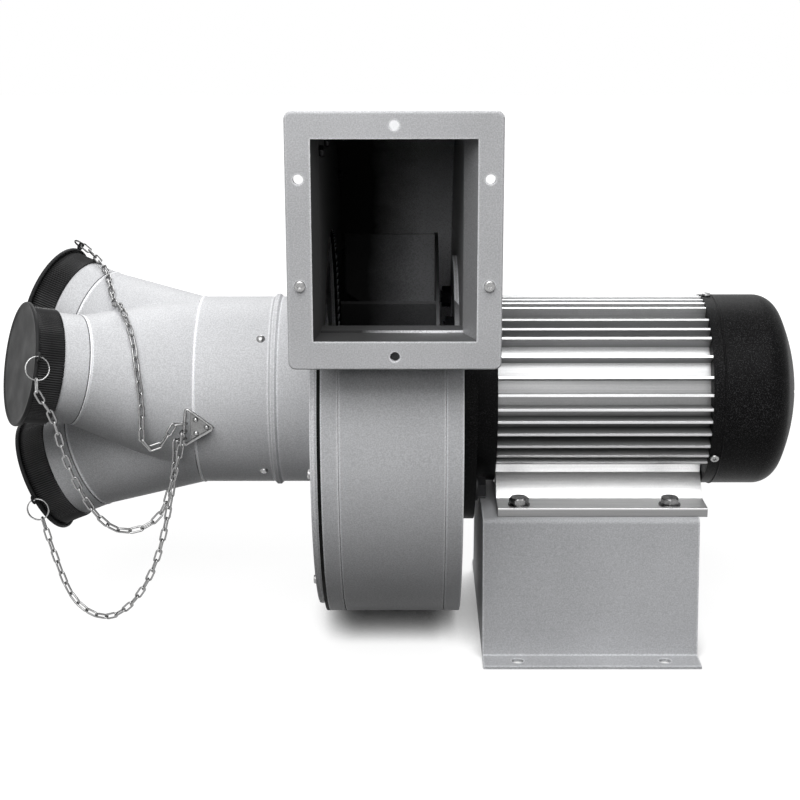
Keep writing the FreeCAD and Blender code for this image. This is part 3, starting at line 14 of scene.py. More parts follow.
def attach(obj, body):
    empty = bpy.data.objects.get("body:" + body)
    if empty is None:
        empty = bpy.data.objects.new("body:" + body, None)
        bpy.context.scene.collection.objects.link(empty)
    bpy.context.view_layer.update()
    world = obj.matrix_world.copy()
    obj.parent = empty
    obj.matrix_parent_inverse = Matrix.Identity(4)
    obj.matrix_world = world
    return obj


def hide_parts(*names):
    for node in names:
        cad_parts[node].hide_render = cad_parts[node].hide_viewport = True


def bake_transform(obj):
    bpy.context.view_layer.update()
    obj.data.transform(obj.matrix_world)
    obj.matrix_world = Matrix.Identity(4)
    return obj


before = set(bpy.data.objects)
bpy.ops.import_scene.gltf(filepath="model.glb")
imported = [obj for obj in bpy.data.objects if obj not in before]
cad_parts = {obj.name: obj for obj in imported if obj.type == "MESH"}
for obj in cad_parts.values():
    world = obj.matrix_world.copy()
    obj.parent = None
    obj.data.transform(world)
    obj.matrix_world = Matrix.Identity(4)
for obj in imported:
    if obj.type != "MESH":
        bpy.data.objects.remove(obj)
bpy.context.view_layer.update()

LOG = logging.getLogger("fan")
HOUSING = "housing"
SHAFT = Vector((0.0, 0.0, 0.23))
ALONG_SHAFT = (1.0, 0.0, 0.0)
TO_INLET = (-1.0, 0.0, 0.0)
TUBE_END = -0.36425
WALL_SINK = 0.0003  # how deep a bead's middle lies in its wall
MERGE_STEPS = 2e5  # steps in a metre: CAD points in the same step are one corner
TINY_AREA, TINY_LENGTH = 1e-12, 1e-15
MIX_FIRST, MIX_SECOND, MIX_RESULT = 6, 7, 2

Triple = tuple[float, float, float]
Pair = tuple[float, float]
Colour = Triple
Limits = Pair
Point = Vector | Triple
Spot = tuple[Vector, Vector]


class Nodes:
    """Adds nodes to one tree and joins them."""

    def __init__(self, tree: bpy.types.NodeTree) -> None:
        """Starts with an empty tree.

        Args:
            tree: the tree of a material or of the world.
        """
        self.tree = tree
        self.tree.nodes.clear()

    def add(self, kind: str, sockets: dict[str | int, object] | None = None,
            **options: object) -> bpy.types.Node:
        """Adds a node.

        Args:
            kind: the node's type name.
            sockets: values or output sockets for its inputs.
            options: settings of the node itself.

        Returns:
            The new node.
        """
        node = self.tree.nodes.new(kind)
        for key, setting in options.items():
            setattr(node, key, setting)
        for key, given in (sockets or {}).items():
            self.join(given, node, key)
        return node

    def join(self, given: object, node: bpy.types.Node, socket: str | int) -> None:
        """Feeds an input with another node's output, or with a plain value.

        Args:
            given: the output socket or the value.
            node: the node to feed.
            socket: its input's name or number.
        """
        if isinstance(given, bpy.types.NodeSocket):
            self.tree.links.new(given, node.inputs[socket])
        else:
            node.inputs[socket].default_value = given

    def maths(self, operation: str, *given: object) -> bpy.types.NodeSocket:
        """Works a value out of others.

        Args:
            operation: the sum's name.
            given: sockets or numbers, in the order that the sum takes them.

        Returns:
            The result.
        """
        return self.add("ShaderNodeMath", dict(enumerate(given)), operation=operation).outputs[0]

    def span(self, source: object, low: float, high: float, start: float, end: float) -> bpy.types.NodeSocket:
        """Maps a value's range to another range, and keeps it inside.

        Args:
            source: the value.
            low: where its range starts.
            high: where its range ends.
            start: the result at the start.
            end: the result at the end.

        Returns:
            The mapped value.
        """
        node = self.add("ShaderNodeMapRange", {"Value": source})
        for key, number in zip(("From Min", "From Max", "To Min", "To Max"), (low, high, start, end)):
            node.inputs[key].default_value = number
        return node.outputs[0]

    def seen_rays(self) -> bpy.types.NodeSocket:
        """One for rays that the eye, a gloss or a glass sends out.

        Returns:
            A value of 0 or 1.
        """
        rays = self.add("ShaderNodeLightPath")
        some = self.maths("MAXIMUM", rays.outputs["Is Camera Ray"], rays.outputs["Is Glossy Ray"])
        return self.maths("MAXIMUM", some, rays.outputs["Is Transmission Ray"])


class Graph(Nodes):
    """Node graph of one material, which ends in one surface shader."""

    def __init__(self, name: str) -> None:
        """Starts a graph with its surface, its output and the object's coordinates.

        Args:
            name: the material's name.
        """
        self.material = bpy.data.materials.new(name)
        self.material.use_nodes = True
        super().__init__(self.material.node_tree)
        self.surface = self.add("ShaderNodeBsdfPrincipled")
        self.output = self.add("ShaderNodeOutputMaterial")
        self.join(self.surface.outputs[0], self.output, "Surface")
        coordinates = self.add("ShaderNodeTexCoord")
        self.place = coordinates.outputs["Object"]
        self.way = coordinates.outputs["Normal"]

    def noise(self, scale: float, detail: float = 2.0, source: object = None) -> bpy.types.NodeSocket:
        """Cloudy variation over the object.

        Args:
            scale: waves per metre.
            detail: how many finer layers it has.
            source: coordinates, or None for the object's own.

        Returns:
            A value from 0 to 1.
        """
        vector = self.place if source is None else source
        return self.add("ShaderNodeTexNoise", {"Vector": vector, "Scale": scale, "Detail": detail}).outputs[0]

    def lines(self, scale: float, waver: float) -> bpy.types.NodeSocket:
        """Fine lines across the shaft.

        Args:
            scale: how close they lie.
            waver: how far they wander.

        Returns:
            A value from 0 to 1.
        """
        sockets = {"Vector": self.place, "Scale": scale, "Distortion": waver}
        return self.add("ShaderNodeTexWave", sockets, bands_direction="X").outputs[0]

    def part(self, vector: object, axis: str) -> bpy.types.NodeSocket:
        """One part of a vector: X, Y or Z."""
        return self.add("ShaderNodeSeparateXYZ", {"Vector": vector}).outputs[axis]

    def tint(self, amount: object, first: Colour, second: Colour) -> bpy.types.NodeSocket:
        """Mixes two colours.

        Args:
            amount: the second colour's share, from 0 to 1.
            first: the colour at 0.
            second: the colour at 1.

        Returns:
            The mixed colour.
        """
        node = self.add("ShaderNodeMix", {0: amount}, data_type="RGBA")
        node.inputs[MIX_FIRST].default_value = (*first, 1.0)
        node.inputs[MIX_SECOND].default_value = (*second, 1.0)
        return node.outputs[MIX_RESULT]

    def scaled(self, colour: object, share: object) -> bpy.types.NodeSocket:
        """A colour made darker or lighter by a share."""
        return self.add("ShaderNodeVectorMath", {0: colour, 1: share}, operation="MULTIPLY").outputs[0]

    def coat(self, colour: object, rough: object) -> None:
        """Feeds the surface's colour and roughness."""
        self.join(colour, self.surface, "Base Color")
        self.join(rough, self.surface, "Roughness")

    def relief(self, height: object, depth: float, rounding: float = 0.0) -> None:
        """Gives the surface a fine relief, and softens its corners.

        Args:
            height: the relief as a value from 0 to 1.
            depth: its depth in metres.
            rounding: radius of the softened corners in metres, or 0.
        """
        bump = self.add("ShaderNodeBump", {"Height": height, "Distance": depth, "Strength": 1.0})
        if rounding:
            corner = self.add("ShaderNodeBevel", {"Radius": rounding}, samples=4)
            self.join(corner.outputs[0], bump, "Normal")
        self.join(bump.outputs[0], self.surface, "Normal")

    def edges(self, reach: float) -> bpy.types.NodeSocket:
        """One beside a sharp edge and nought away from it.

        Args:
            reach: how far from the edge it fades, in metres.

        Returns:
            A value from 0 to 1.
        """
        corner = self.add("ShaderNodeBevel", {"Radius": reach}, samples=6).outputs[0]
        plain = self.add("ShaderNodeNewGeometry").outputs["Normal"]
        alike = self.add("ShaderNodeVectorMath", {0: corner, 1: plain}, operation="DOT_PRODUCT")
        return self.span(alike.outputs["Value"], 0.99, 0.9, 0.0, 1.0)

    def distance_from_line(self, start: Point, along: Point) -> bpy.types.NodeSocket:
        """Each point's distance from a line.

        Args:
            start: a point on the line.
            along: the line's direction, one long.

        Returns:
            The distance in metres.
        """
        offset = self.add("ShaderNodeVectorMath", {0: self.place, 1: tuple(start)}, operation="SUBTRACT")
        across = self.add("ShaderNodeVectorMath", {0: offset.outputs[0], 1: tuple(along)},
                          operation="CROSS_PRODUCT")
        return self.add("ShaderNodeVectorMath", {0: across.outputs[0]}, operation="LENGTH").outputs[1]


@dataclass(frozen=True)
class Finish:
    """What every finish has: a name, a colour, a roughness and the record's slot."""

    name: str
    colour: Colour
    roughness: float
    slot: str
    metallic: float = 0.0
    shine: float = 0.5

    def material(self) -> bpy.types.Material:
        """The finish as a material, made once.

        Returns:
            The material.
        """
        known = bpy.data.materials.get(self.name)
        if known is not None:
            return known
        graph = Graph(self.name)
        graph.surface.inputs["Metallic"].default_value = self.metallic
        graph.surface.inputs["Specular IOR Level"].default_value = self.shine
        self.paint(graph)
        return graph.material

    def paint(self, graph: Graph) -> None:
        """Fills the graph; each finish has its own way."""
        raise NotImplementedError

    def shades(self, spread: float) -> tuple[Colour, Colour]:
        """The colour made darker and lighter by a share of itself."""
        dark, light = 1.0 - spread, 1.0 + spread
        return tuple(c * dark for c in self.colour), tuple(min(1.0, c * light) for c in self.colour)

    def gloss(self, graph: Graph, source: object, start: float, end: float, low: float = 0.3,
              high: float = 0.7) -> bpy.types.NodeSocket:
        """Roughness about the finish's own, which follows a value.

        Args:
            graph: the material's graph.
            source: the value.
            start: what is added where the value is low.
            end: what is added where it is high.
            low: where the value's range starts.
            high: where the value's range ends.

        Returns:
            The roughness.
        """
        return graph.span(source, low, high, self.roughness + start, self.roughness + end)


@dataclass(frozen=True)
class PowderCoat(Finish):
    """Baked powder paint: a fine pebble, tiny metal flakes and a slow change of shade."""

    pebble: float = 800.0
    depth: float = 0.00005
    rounding: float = 0.0012
    speckle: float = 0.24
    flake: float = 900.0
    drift: float = 7.0
    highlight_reach: float = 0.003
    highlight_gain: float = 1.7

    def paint(self, graph: Graph) -> None:
        """Flakes over a slow drift of shade, with a painted highlight along the edges, and the pebble as
        relief.

        Args:
            graph: the material's graph.
        """
        flakes = graph.span(graph.noise(self.flake), 0.36, 0.66, 0.0, 1.0)
        both = graph.maths("MULTIPLY_ADD", flakes, 0.6, graph.noise(self.drift, 3.0))
        shade = graph.tint(graph.span(both, 0.25, 1.35, 0.0, 1.0), *self.shades(self.speckle))
        # Painted highlight: the colour is lighter along sharp edges, where light would catch the folds.
        painted_light_term = graph.span(graph.edges(self.highlight_reach), 0.0, 1.0, 1.0, self.highlight_gain)
        graph.coat(graph.scaled(shade, painted_light_term), self.gloss(graph, flakes, 0.08, -0.08, 0.0, 1.0))
        graph.relief(graph.noise(self.pebble), self.depth, self.rounding)


@dataclass(frozen=True)
class PaintedShadeCoat(Finish):
    """Coat inside the casing with painted shade: black on the inlet's side and lighter towards the motor."""

    black_until: float = -0.206
    unshaded_from: float = -0.155
    ragged: float = 0.02
    painted_shade_share: float = 0.012
    black_roughness: float = 0.95

    def paint(self, graph: Graph) -> None:
        """Painted shade that fades along the shaft, and is darker on faces that look up and on the motor's
        side wall, which looks towards the inlet.

        Args:
            graph: the material's graph.
        """
        # Painted shade: the colour goes black towards the inlet's side with a ragged edge, and is darker on
        # faces that look up or towards the inlet.
        painted_light_term = graph.maths("MULTIPLY_ADD", graph.noise(30.0, 4.0), self.ragged, graph.part(graph.place, "X"))
        shift = self.ragged / 2
        unshaded = graph.span(painted_light_term, self.black_until + shift, self.unshaded_from + shift, 0.0, 1.0)
        fine = graph.span(graph.noise(900.0), 0.35, 0.65, 0.75, 1.2)
        darker_facing_up = graph.span(graph.part(graph.way, "Z"), 0.3, 0.8, 1.0, 0.1)
        darker_facing_inlet = graph.span(graph.part(graph.way, "X"), -0.9, -0.3, 0.4, 1.0)
        level = unshaded
        for share in (fine, darker_facing_up, darker_facing_inlet):
            level = graph.maths("MULTIPLY", level, share)
        black = tuple(c * self.painted_shade_share for c in self.colour)
        graph.coat(graph.tint(level, black, self.colour),
                   graph.span(unshaded, 0.0, 1.0, self.black_roughness, self.roughness))
        graph.relief(graph.noise(800.0), 0.0001)


@dataclass(frozen=True)
class DrawnAlloy(Finish):
    """Drawn light alloy with painted shade: bright on edges that stand out, darker in hollows, underneath and
    on low ledges.
    """

    root: float = 0.0
    tip: float = 0.001
    hollow: float = 1.0
    under: float = 0.3
    ledge: float = 1.0
    shaded_rise: Limits = (-0.01, 0.045)
    ledge_rise: Limits = (-0.0935, -0.0918)
    draw_marks: Triple = (12.0, 900.0, 900.0)
    grain: float = 1300.0
    spread: float = 0.16

    def paint(self, graph: Graph) -> None:
        """Draw marks and grain, with painted shade towards the shaft, low down and on faces that look down.

        Args:
            graph: the material's graph.
        """
        stretched = graph.add("ShaderNodeMapping", {"Vector": graph.place, "Scale": self.draw_marks})
        marks = graph.noise(1.0, 3.0, stretched.outputs[0])
        grain = graph.noise(self.grain)
        both = graph.maths("MULTIPLY_ADD", marks, 0.9, grain)
        bright = graph.tint(graph.span(both, 0.6, 1.3, 0.0, 1.0), *self.shades(self.spread))
        # Painted shade: darker between the fins near the shaft, low down, on faces that look down and on low
        # ledges.
        outward = graph.span(graph.distance_from_line(SHAFT, ALONG_SHAFT), self.root, self.tip, 0.0, 1.0)
        height = graph.part(graph.place, "Z")
        low, high = (SHAFT.z + rise for rise in self.shaded_rise)
        low_shade = graph.span(height, low, high, self.hollow, 0.5 + 0.5 * self.hollow)
        kept = graph.add("ShaderNodeMix", {0: outward, 2: low_shade, 3: 1.0}).outputs[0]
        upward = graph.span(graph.part(graph.way, "Z"), -0.9, 0.1, self.under, 1.0)
        level = graph.maths("MULTIPLY", kept, upward)
        if self.ledge < 1.0:
            low, high = (SHAFT.z + rise for rise in self.ledge_rise)
            level = graph.maths("MULTIPLY", level, graph.span(height, low, high, self.ledge, 1.0))
        graph.coat(graph.scaled(bright, level), self.gloss(graph, grain, -0.06, 0.1))
        graph.relief(both, 0.00003, 0.0006)


@dataclass(frozen=True)
class CrinklePaint(Finish):
    """Black crinkle paint on the cowl, the shields and the terminal box."""

    crinkle: float = 1300.0
    depth: float = 0.00014
    glint_grey: float = 0.03

    def paint(self, graph: Graph) -> None:
        """Small folds in relief, whose tops get a painted grey glint in cloudy patches.

        Args:
            graph: the material's graph.
        """
        folds = graph.noise(self.crinkle, 3.0)
        painted_light_term = graph.span(graph.noise(24.0, 3.0), 0.35, 0.65, 0.5, 1.0)
        # Painted glint: the tops of the folds turn grey in cloudy patches, standing in for light caught by
        # the crinkle.
        amount = graph.maths("MULTIPLY", painted_light_term, graph.span(folds, 0.52, 0.68, 0.0, 1.0))
        grey = (self.glint_grey, self.glint_grey, self.glint_grey * 1.03)
        graph.coat(graph.tint(amount, self.colour, grey), self.gloss(graph, graph.noise(9.0), -0.05, 0.07))
        graph.relief(folds, self.depth, 0.0008)


@dataclass(frozen=True)
class Rubber(Finish):
    """Black rubber with a dry bloom."""

    clouds: float = 60.0
    grain: float = 1600.0
    spread: float = 0.4

    def paint(self, graph: Graph) -> None:
        """Cloudy bloom and a faint grain.

        Args:
            graph: the material's graph.
        """
        bloom = graph.noise(self.clouds, 4.0)
        graph.coat(graph.tint(graph.span(bloom, 0.35, 0.75, 0.0, 1.0), *self.shades(self.spread)),
                   self.gloss(graph, bloom, -0.06, 0.08))
        graph.relief(graph.noise(self.grain), 0.00004)


@dataclass(frozen=True)
class RibbedRubber(Finish):
    """Rubber of a ribbed band: painted shade black between the ribs, and the rubber's own colour with a bloom
    on their crests.
    """

    middle: Triple = (0.0, 0.0, 0.0)
    along: Triple = ALONG_SHAFT
    crest: float = 0.0524
    valley: float = 0.0518
    clouds: float = 60.0
    grain: float = 1600.0
    black: Colour = (0.0012, 0.0012, 0.0013)

    def paint(self, graph: Graph) -> None:
        """Painted shade by the distance from the band's axis, with a cloudy bloom.

        Args:
            graph: the material's graph.
        """
        reach = graph.distance_from_line(self.middle, self.along)
        bloom = graph.span(graph.noise(self.clouds, 4.0), 0.3, 0.7, 0.55, 1.0)
        # Painted shade: black in the valleys between the ribs, the rubber's own colour on the crests.
        amount = graph.maths("MULTIPLY", bloom, graph.span(reach, self.valley, self.crest, 0.0, 1.0))
        graph.coat(graph.tint(amount, self.black, self.colour), self.gloss(graph, bloom, 0.08, 0.0, 0.5, 1.0))
        graph.relief(graph.noise(self.grain), 0.00003)


@dataclass(frozen=True)
class SpunSheet(Finish):
    """Sheet disc turned on a lathe: fine rings about its middle."""

    middle: Triple = (0.0, 0.0, 0.0)
    along: Triple = ALONG_SHAFT
    rings: float = 900.0
    spread: float = 0.14

    def paint(self, graph: Graph) -> None:
        """Rings by the distance from the disc's axis, under a dull haze.

        Args:
            graph: the material's graph.
        """
        reach = graph.distance_from_line(self.middle, self.along)
        turned = graph.add("ShaderNodeTexNoise", {"W": reach, "Scale": self.rings, "Detail": 2.0},
                           noise_dimensions="1D").outputs[0]
        haze = graph.noise(45.0, 3.0)
        both = graph.maths("MULTIPLY_ADD", turned, 0.6, haze)
        graph.coat(graph.tint(graph.span(both, 0.5, 1.1, 0.0, 1.0), *self.shades(self.spread)),
                   self.gloss(graph, haze, -0.05, 0.1))
        graph.relief(turned, 0.00003, 0.0005)


@dataclass(frozen=True)
class PlatedSteel(Finish):
    """Zinc or nickel on steel: bright, with small crystal patches and a few dull spots."""

    patch: float = 500.0
    dull_spot: float = 260.0
    spread: float = 0.15

    def paint(self, graph: Graph) -> None:
        """Patches in shade, spots in roughness and a faint relief.

        Args:
            graph: the material's graph.
        """
        cells = graph.add("ShaderNodeTexVoronoi", {"Vector": graph.place, "Scale": self.patch})
        amount = graph.span(cells.outputs["Distance"], 0.0, 0.8, 0.0, 1.0)
        dull = graph.noise(self.dull_spot, 3.0)
        graph.coat(graph.tint(amount, *self.shades(self.spread)),
                   self.gloss(graph, dull, -0.08, 0.15, 0.35, 0.75))
        graph.relief(dull, 0.000005, 0.0002)


@dataclass(frozen=True)
class MachinedSteel(Finish):
    """Turned steel with its tool marks across the shaft."""

    pitch: float = 2600.0
    spread: float = 0.08

    def paint(self, graph: Graph) -> None:
        """Fine marks that follow the shaft's length.

        Args:
            graph: the material's graph.
        """
        marks = graph.lines(self.pitch, 1.5)
        graph.coat(graph.tint(marks, *self.shades(self.spread)),
                   self.gloss(graph, graph.noise(200.0), -0.05, 0.08))
        graph.relief(marks, 0.00001, 0.0003)


@dataclass(frozen=True)
class StackedSheets(Finish):
    """Laminations, or wound wire, seen edge on as fine lines across the shaft."""

    pitch: float = 1300.0
    depth: float = 0.00015
    spread: float = 0.3

    def paint(self, graph: Graph) -> None:
        """Lines across the shaft with a patchy shade.

        Args:
            graph: the material's graph.
        """
        lines = graph.lines(self.pitch, 0.6)
        patchy = graph.noise(70.0, 3.0)
        both = graph.maths("MULTIPLY_ADD", lines, 0.6, patchy)
        graph.coat(graph.tint(graph.span(both, 0.3, 1.3, 0.0, 1.0), *self.shades(self.spread)),
                   self.gloss(graph, patchy, -0.05, 0.08))
        graph.relief(lines, self.depth)


@dataclass(frozen=True)
class Moulded(Finish):
    """Moulded plastic with a spark-eroded texture."""

    pebble: float = 1100.0
    spread: float = 0.12

    def paint(self, graph: Graph) -> None:
        """Even shade with a fine pebble.

        Args:
            graph: the material's graph.
        """
        pebble = graph.noise(self.pebble)
        graph.coat(graph.tint(pebble, *self.shades(self.spread)), self.gloss(graph, pebble, -0.04, 0.06))
        graph.relief(pebble, 0.00004, 0.0006)


SILVER = PowderCoat("silver_powder_coat", (0.62, 0.625, 0.64), 0.5, "casing_coat", shine=0.16)
BASE_SILVER = PowderCoat("base_powder_coat", (0.47, 0.475, 0.49), 0.5, "powder_coat", shine=0.16)
# The flange's coat is a darker copy of the casing's silver coat, as painted shade.
FLANGE_SILVER = PowderCoat("flange_powder_coat", (0.48, 0.483, 0.495), 0.5, "casing_coat", shine=0.16)
CASING_SILVER = PowderCoat("casing_powder_coat", (0.57, 0.575, 0.59), 0.5, "casing_coat", shine=0.16)
SEAM_DARK = PowderCoat("seam_shade", (0.09, 0.091, 0.096), 0.6, "casing_coat", shine=0.1)
# The seam coat is a lighter copy of the silver coat, as a painted highlight on the weld lines.
SEAM_BRIGHT = PowderCoat("seam_coat", (0.76, 0.765, 0.78), 0.45, "casing_coat", shine=0.3)
# The inside coat is a much lighter copy of the casing coat, as painted light, with painted shade on it; the
# wheel's dark colour is painted shade.
INSIDE_COAT = PaintedShadeCoat("inside_coat_painted_shade", (0.9, 0.905, 0.93), 0.4, "casing_coat", shine=0.6)
WHEEL_COAT = PaintedShadeCoat("wheel_coat_painted_shade", (0.2, 0.202, 0.21), 0.5, "casing_coat", shine=0.3)
FRAME_ALLOY = DrawnAlloy("finned_alloy", (0.78, 0.785, 0.79), 0.36, "motor_casting", 0.8, 0.4,
                         root=0.078, tip=0.0892, hollow=0.2)
# The foot's alloy is a lighter copy of the finned alloy, as painted light on the foot's front faces.
FOOT_ALLOY = DrawnAlloy("foot_alloy", (0.95, 0.952, 0.955), 0.36, "motor_casting", 0.8, 0.4,
                        under=0.8, ledge=0.3)
COWL_BLACK = CrinklePaint("cowl_black_paint", (0.002, 0.002, 0.0022), 0.4, "black_paint", shine=0.05,
                          glint_grey=0.05)
SHIELD_BLACK = CrinklePaint("shield_black_paint", (0.002, 0.002, 0.0022), 0.42, "shield_casting", shine=0.05)
BOX_BLACK = CrinklePaint("box_black_paint", (0.004, 0.004, 0.0044), 0.42, "black_paint", shine=0.07)
GASKET_RUBBER = Rubber("gasket_rubber", (0.004, 0.004, 0.004), 0.7, "rubber_black", shine=0.08)
ZINC = PlatedSteel("zinc_plating", (0.3, 0.3, 0.3), 0.24, "zinc_steel", 1.0)
BOLT_ZINC = PlatedSteel("bolt_zinc", (0.2, 0.2, 0.2), 0.28, "zinc_steel", 1.0)
BLACK_BOLT = PlatedSteel("blackened_bolt", (0.012, 0.012, 0.013), 0.4, "zinc_steel", 0.4, 0.2)
CHAIN = PlatedSteel("chain_nickel", (0.26, 0.26, 0.26), 0.2, "chain_steel", 1.0)
DARK_ZINC = PlatedSteel("dark_zinc", (0.07, 0.07, 0.07), 0.3, "zinc_steel", 1.0)
STEEL = MachinedSteel("turned_steel", (0.5, 0.5, 0.5), 0.28, "shaft_steel", 1.0)
CORE_SHEETS = StackedSheets("core_sheets", (0.12, 0.12, 0.125), 0.45, "laminations", 0.7)
COPPER = StackedSheets("winding_copper", (0.55, 0.2, 0.07), 0.35, "winding_copper", 0.9,
                       pitch=900.0, depth=0.0004)
BLACK_PLASTIC = Moulded("black_plastic", (0.012, 0.012, 0.012), 0.45, "black_plastic", shine=0.25)
TAN_PLASTIC = Moulded("block_plastic", (0.36, 0.2, 0.09), 0.4, "terminal_plastic")

NODE_FINISHES: dict[str, Finish] = {
    "base_pedestal": BASE_SILVER, "motor_frame": FRAME_ALLOY, "motor_foot_front": FOOT_ALLOY,
    "motor_foot_rear": FOOT_ALLOY, "flange_end_shield": SHIELD_BLACK, "flange_bolts": BLACK_BOLT,
    "rear_end_shield": SHIELD_BLACK, "fan_cowl": COWL_BLACK, "stator_core": CORE_SHEETS,
    "stator_windings": COPPER, "drive_bearing_outer": STEEL, "rear_bearing_outer": STEEL,
    "terminal_box": BOX_BLACK, "terminal_lid": BOX_BLACK, "cable_gland": BLACK_PLASTIC,
    "terminal_block": TAN_PLASTIC, "scroll_wrapper": CASING_SILVER, "scroll_inlet_side": CASING_SILVER,
    "scroll_motor_side": CASING_SILVER, "motor_mount_ring": CASING_SILVER, "outlet_duct": CASING_SILVER,
    "outlet_flange": FLANGE_SILVER, "inlet_gasket": GASKET_RUBBER, "cover_backing": SILVER,
    "inlet_plate": SILVER, "main_tube": SILVER, "manifold": SILVER, "spout_front": SILVER,
    "spout_upper": SILVER, "spout_lower": SILVER, "motor_shaft": STEEL, "shaft_key": STEEL,
    "rotor_core": CORE_SHEETS, "impeller_wheel": WHEEL_COAT, "impeller_hub": STEEL, "hub_fixings": ZINC,
    "cooling_fan": BLACK_PLASTIC, "bearing_inner_rings": STEEL,
}


@dataclass
class Skin:
    """Points and faces of one piece while it is built."""

    points: list[Vector] = field(default_factory=list)
    faces: list[tuple[int, ...]] = field(default_factory=list)

    def loft(self, rings: Sequence[Sequence[Vector]], close_start: bool = False, close_end: bool = False,
             loop: bool = False) -> "Skin":
        """Joins closed rings of equal count with quads.

        Args:
            rings: the rings, one after the other.
            close_start: whether the first ring gets a face.
            close_end: whether the last ring gets a face.
            loop: whether the last ring joins the first.

        Returns:
            The same skin.
        """
        base, count = len(self.points), len(rings[0])
        for ring in rings:
            self.points.extend(Vector(p) for p in ring)
        steps = len(rings) if loop else len(rings) - 1
        for i in range(steps):
            here, there = base + i * count, base + ((i + 1) % len(rings)) * count
            for j in range(count):
                k = (j + 1) % count
                self.faces.append((here + j, here + k, there + k, there + j))
        if close_start:
            self.faces.append(tuple(base + j for j in reversed(range(count))))
        if close_end:
            last = base + (len(rings) - 1) * count
            self.faces.append(tuple(last + j for j in range(count)))
        return self

    def turned(self, profile: Sequence[Pair], place: Matrix, around: int = 48,
               shape: Callable[[float, float], float] | None = None, close: bool = True) -> "Skin":
        """Turns a profile of (radius, height) about the local Z axis.

        Args:
            profile: the outline from one end to the other.
            place: where the local axes are.
            around: points in each ring.
            shape: changes a radius at an angle, for hexagons, stars and ribs.
            close: whether both ends get a face, or the last ring joins the first.

        Returns:
            The same skin.
        """
        rings = []
        for radius, height in profile:
            ring = []
            for j in range(around):
                turn = 2 * math.pi * j / around
                reach = shape(radius, turn) if shape else radius
                ring.append(place @ Vector((reach * math.cos(turn), reach * math.sin(turn), height)))
            rings.append(ring)
        return self.loft(rings, close, close, not close)

    def swept(self, path: Sequence[Vector], radius: float, sides: int = 10, loop: bool = False,
              across: Vector | None = None) -> "Skin":
        """Sweeps a round wire along a path.

        Args:
            path: the wire's middle line.
            radius: half the wire's thickness.
            sides: points in each ring.
            loop: whether the path closes on itself.
            across: a direction that the path never runs along.

        Returns:
            The same skin.
        """
        rings, count = [], len(path)
        side = across.copy() if across is not None else None
        turns = [2 * math.pi * j / sides for j in range(sides)]
        for i, here in enumerate(path):
            before = path[i - 1] if loop or i else here
            after = path[(i + 1) % count] if loop or i < count - 1 else here
            along = (after - before).normalized()
            if side is None:
                side = along.orthogonal()
            flat = (side - along * side.dot(along)).normalized()
            if across is None:
                side = flat
            third = along.cross(flat)
            rings.append([here + (flat * math.cos(turn) + third * math.sin(turn)) * radius for turn in turns])
        return self.loft(rings, not loop, not loop, loop)

    def piece(self, name: str, finish: Finish, body: str | None = HOUSING, replaced: Iterable[str] = (),
              sharp: float = 35.0) -> bpy.types.Object:
        """Makes the object, dresses it and fixes it to its body.

        Args:
            name: the piece's name.
            finish: its finish.
            body: the body that it rides on, or None.
            replaced: the CAD nodes that it stands for.
            sharp: the angle in degrees over which an edge stays sharp.

        Returns:
            The new object.
        """
        mesh = bpy.data.meshes.new(name)
        mesh.from_pydata([tuple(p) for p in self.points], [], self.faces)
        mesh.polygons.foreach_set("use_smooth", [True] * len(mesh.polygons))
        mesh.set_sharp_from_angle(angle=math.radians(sharp))
        mesh.materials.append(finish.material())
        made = bpy.data.objects.new(name, mesh)
        bpy.context.scene.collection.objects.link(made)
        if body is not None:
            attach(made, body)
        nodes = list(replaced)
        if nodes:
            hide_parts(*nodes)
        LOG.info("%s: %d faces", name, len(mesh.polygons))
        return made


def placed(origin: Point, axis: Point, side: Point | None = None) -> Matrix:
    """Local axes with Z along a direction.

    Args:
        origin: where they start.
        axis: the direction of Z.
        side: a direction near X, or None for any.

    Returns:
        The matrix from local to model coordinates.
    """
    up = Vector(axis).normalized()
    across = Vector(side) if side is not None else up.orthogonal()
    across = (across - up * across.dot(up)).normalized()
    third = up.cross(across)
    matrix = Matrix((across, third, up)).transposed().to_4x4()
    matrix.translation = Vector(origin)
    return matrix


def on_shaft(x: float) -> Vector:
    """The point of the shaft's axis at a place along it."""
    return Vector((x, 0.0, SHAFT.z))


def bead(place: Matrix, radius: float, wire: float, sides: int = 8, around: int = 96) -> Skin:
    """Round bead about the local axis that lies halfway in a wall.

    Args:
        place: where the local axes are.
        radius: the wall's radius.
        wire: half the bead's thickness.
        sides: points about the bead.
        around: points along the bead.

    Returns:
        The bead's skin.
    """
    turns = [2 * math.pi * i / sides for i in range(sides)]
    profile = [(radius - WALL_SINK + wire * math.cos(turn), wire * math.sin(turn)) for turn in turns]
    return Skin().turned(profile, place, around, close=False)


def merged_points(mesh: bpy.types.Mesh) -> tuple[np.ndarray, np.ndarray]:
    """The points of a CAD mesh, where points at one place share a number.

    Args:
        mesh: the node's mesh.

    Returns:
        The points, and each one's number.
    """
    spots = np.array([v.co for v in mesh.vertices])
    _, merged = np.unique(np.round(spots * MERGE_STEPS).astype(np.int64), axis=0, return_inverse=True)
    return spots, merged.ravel()


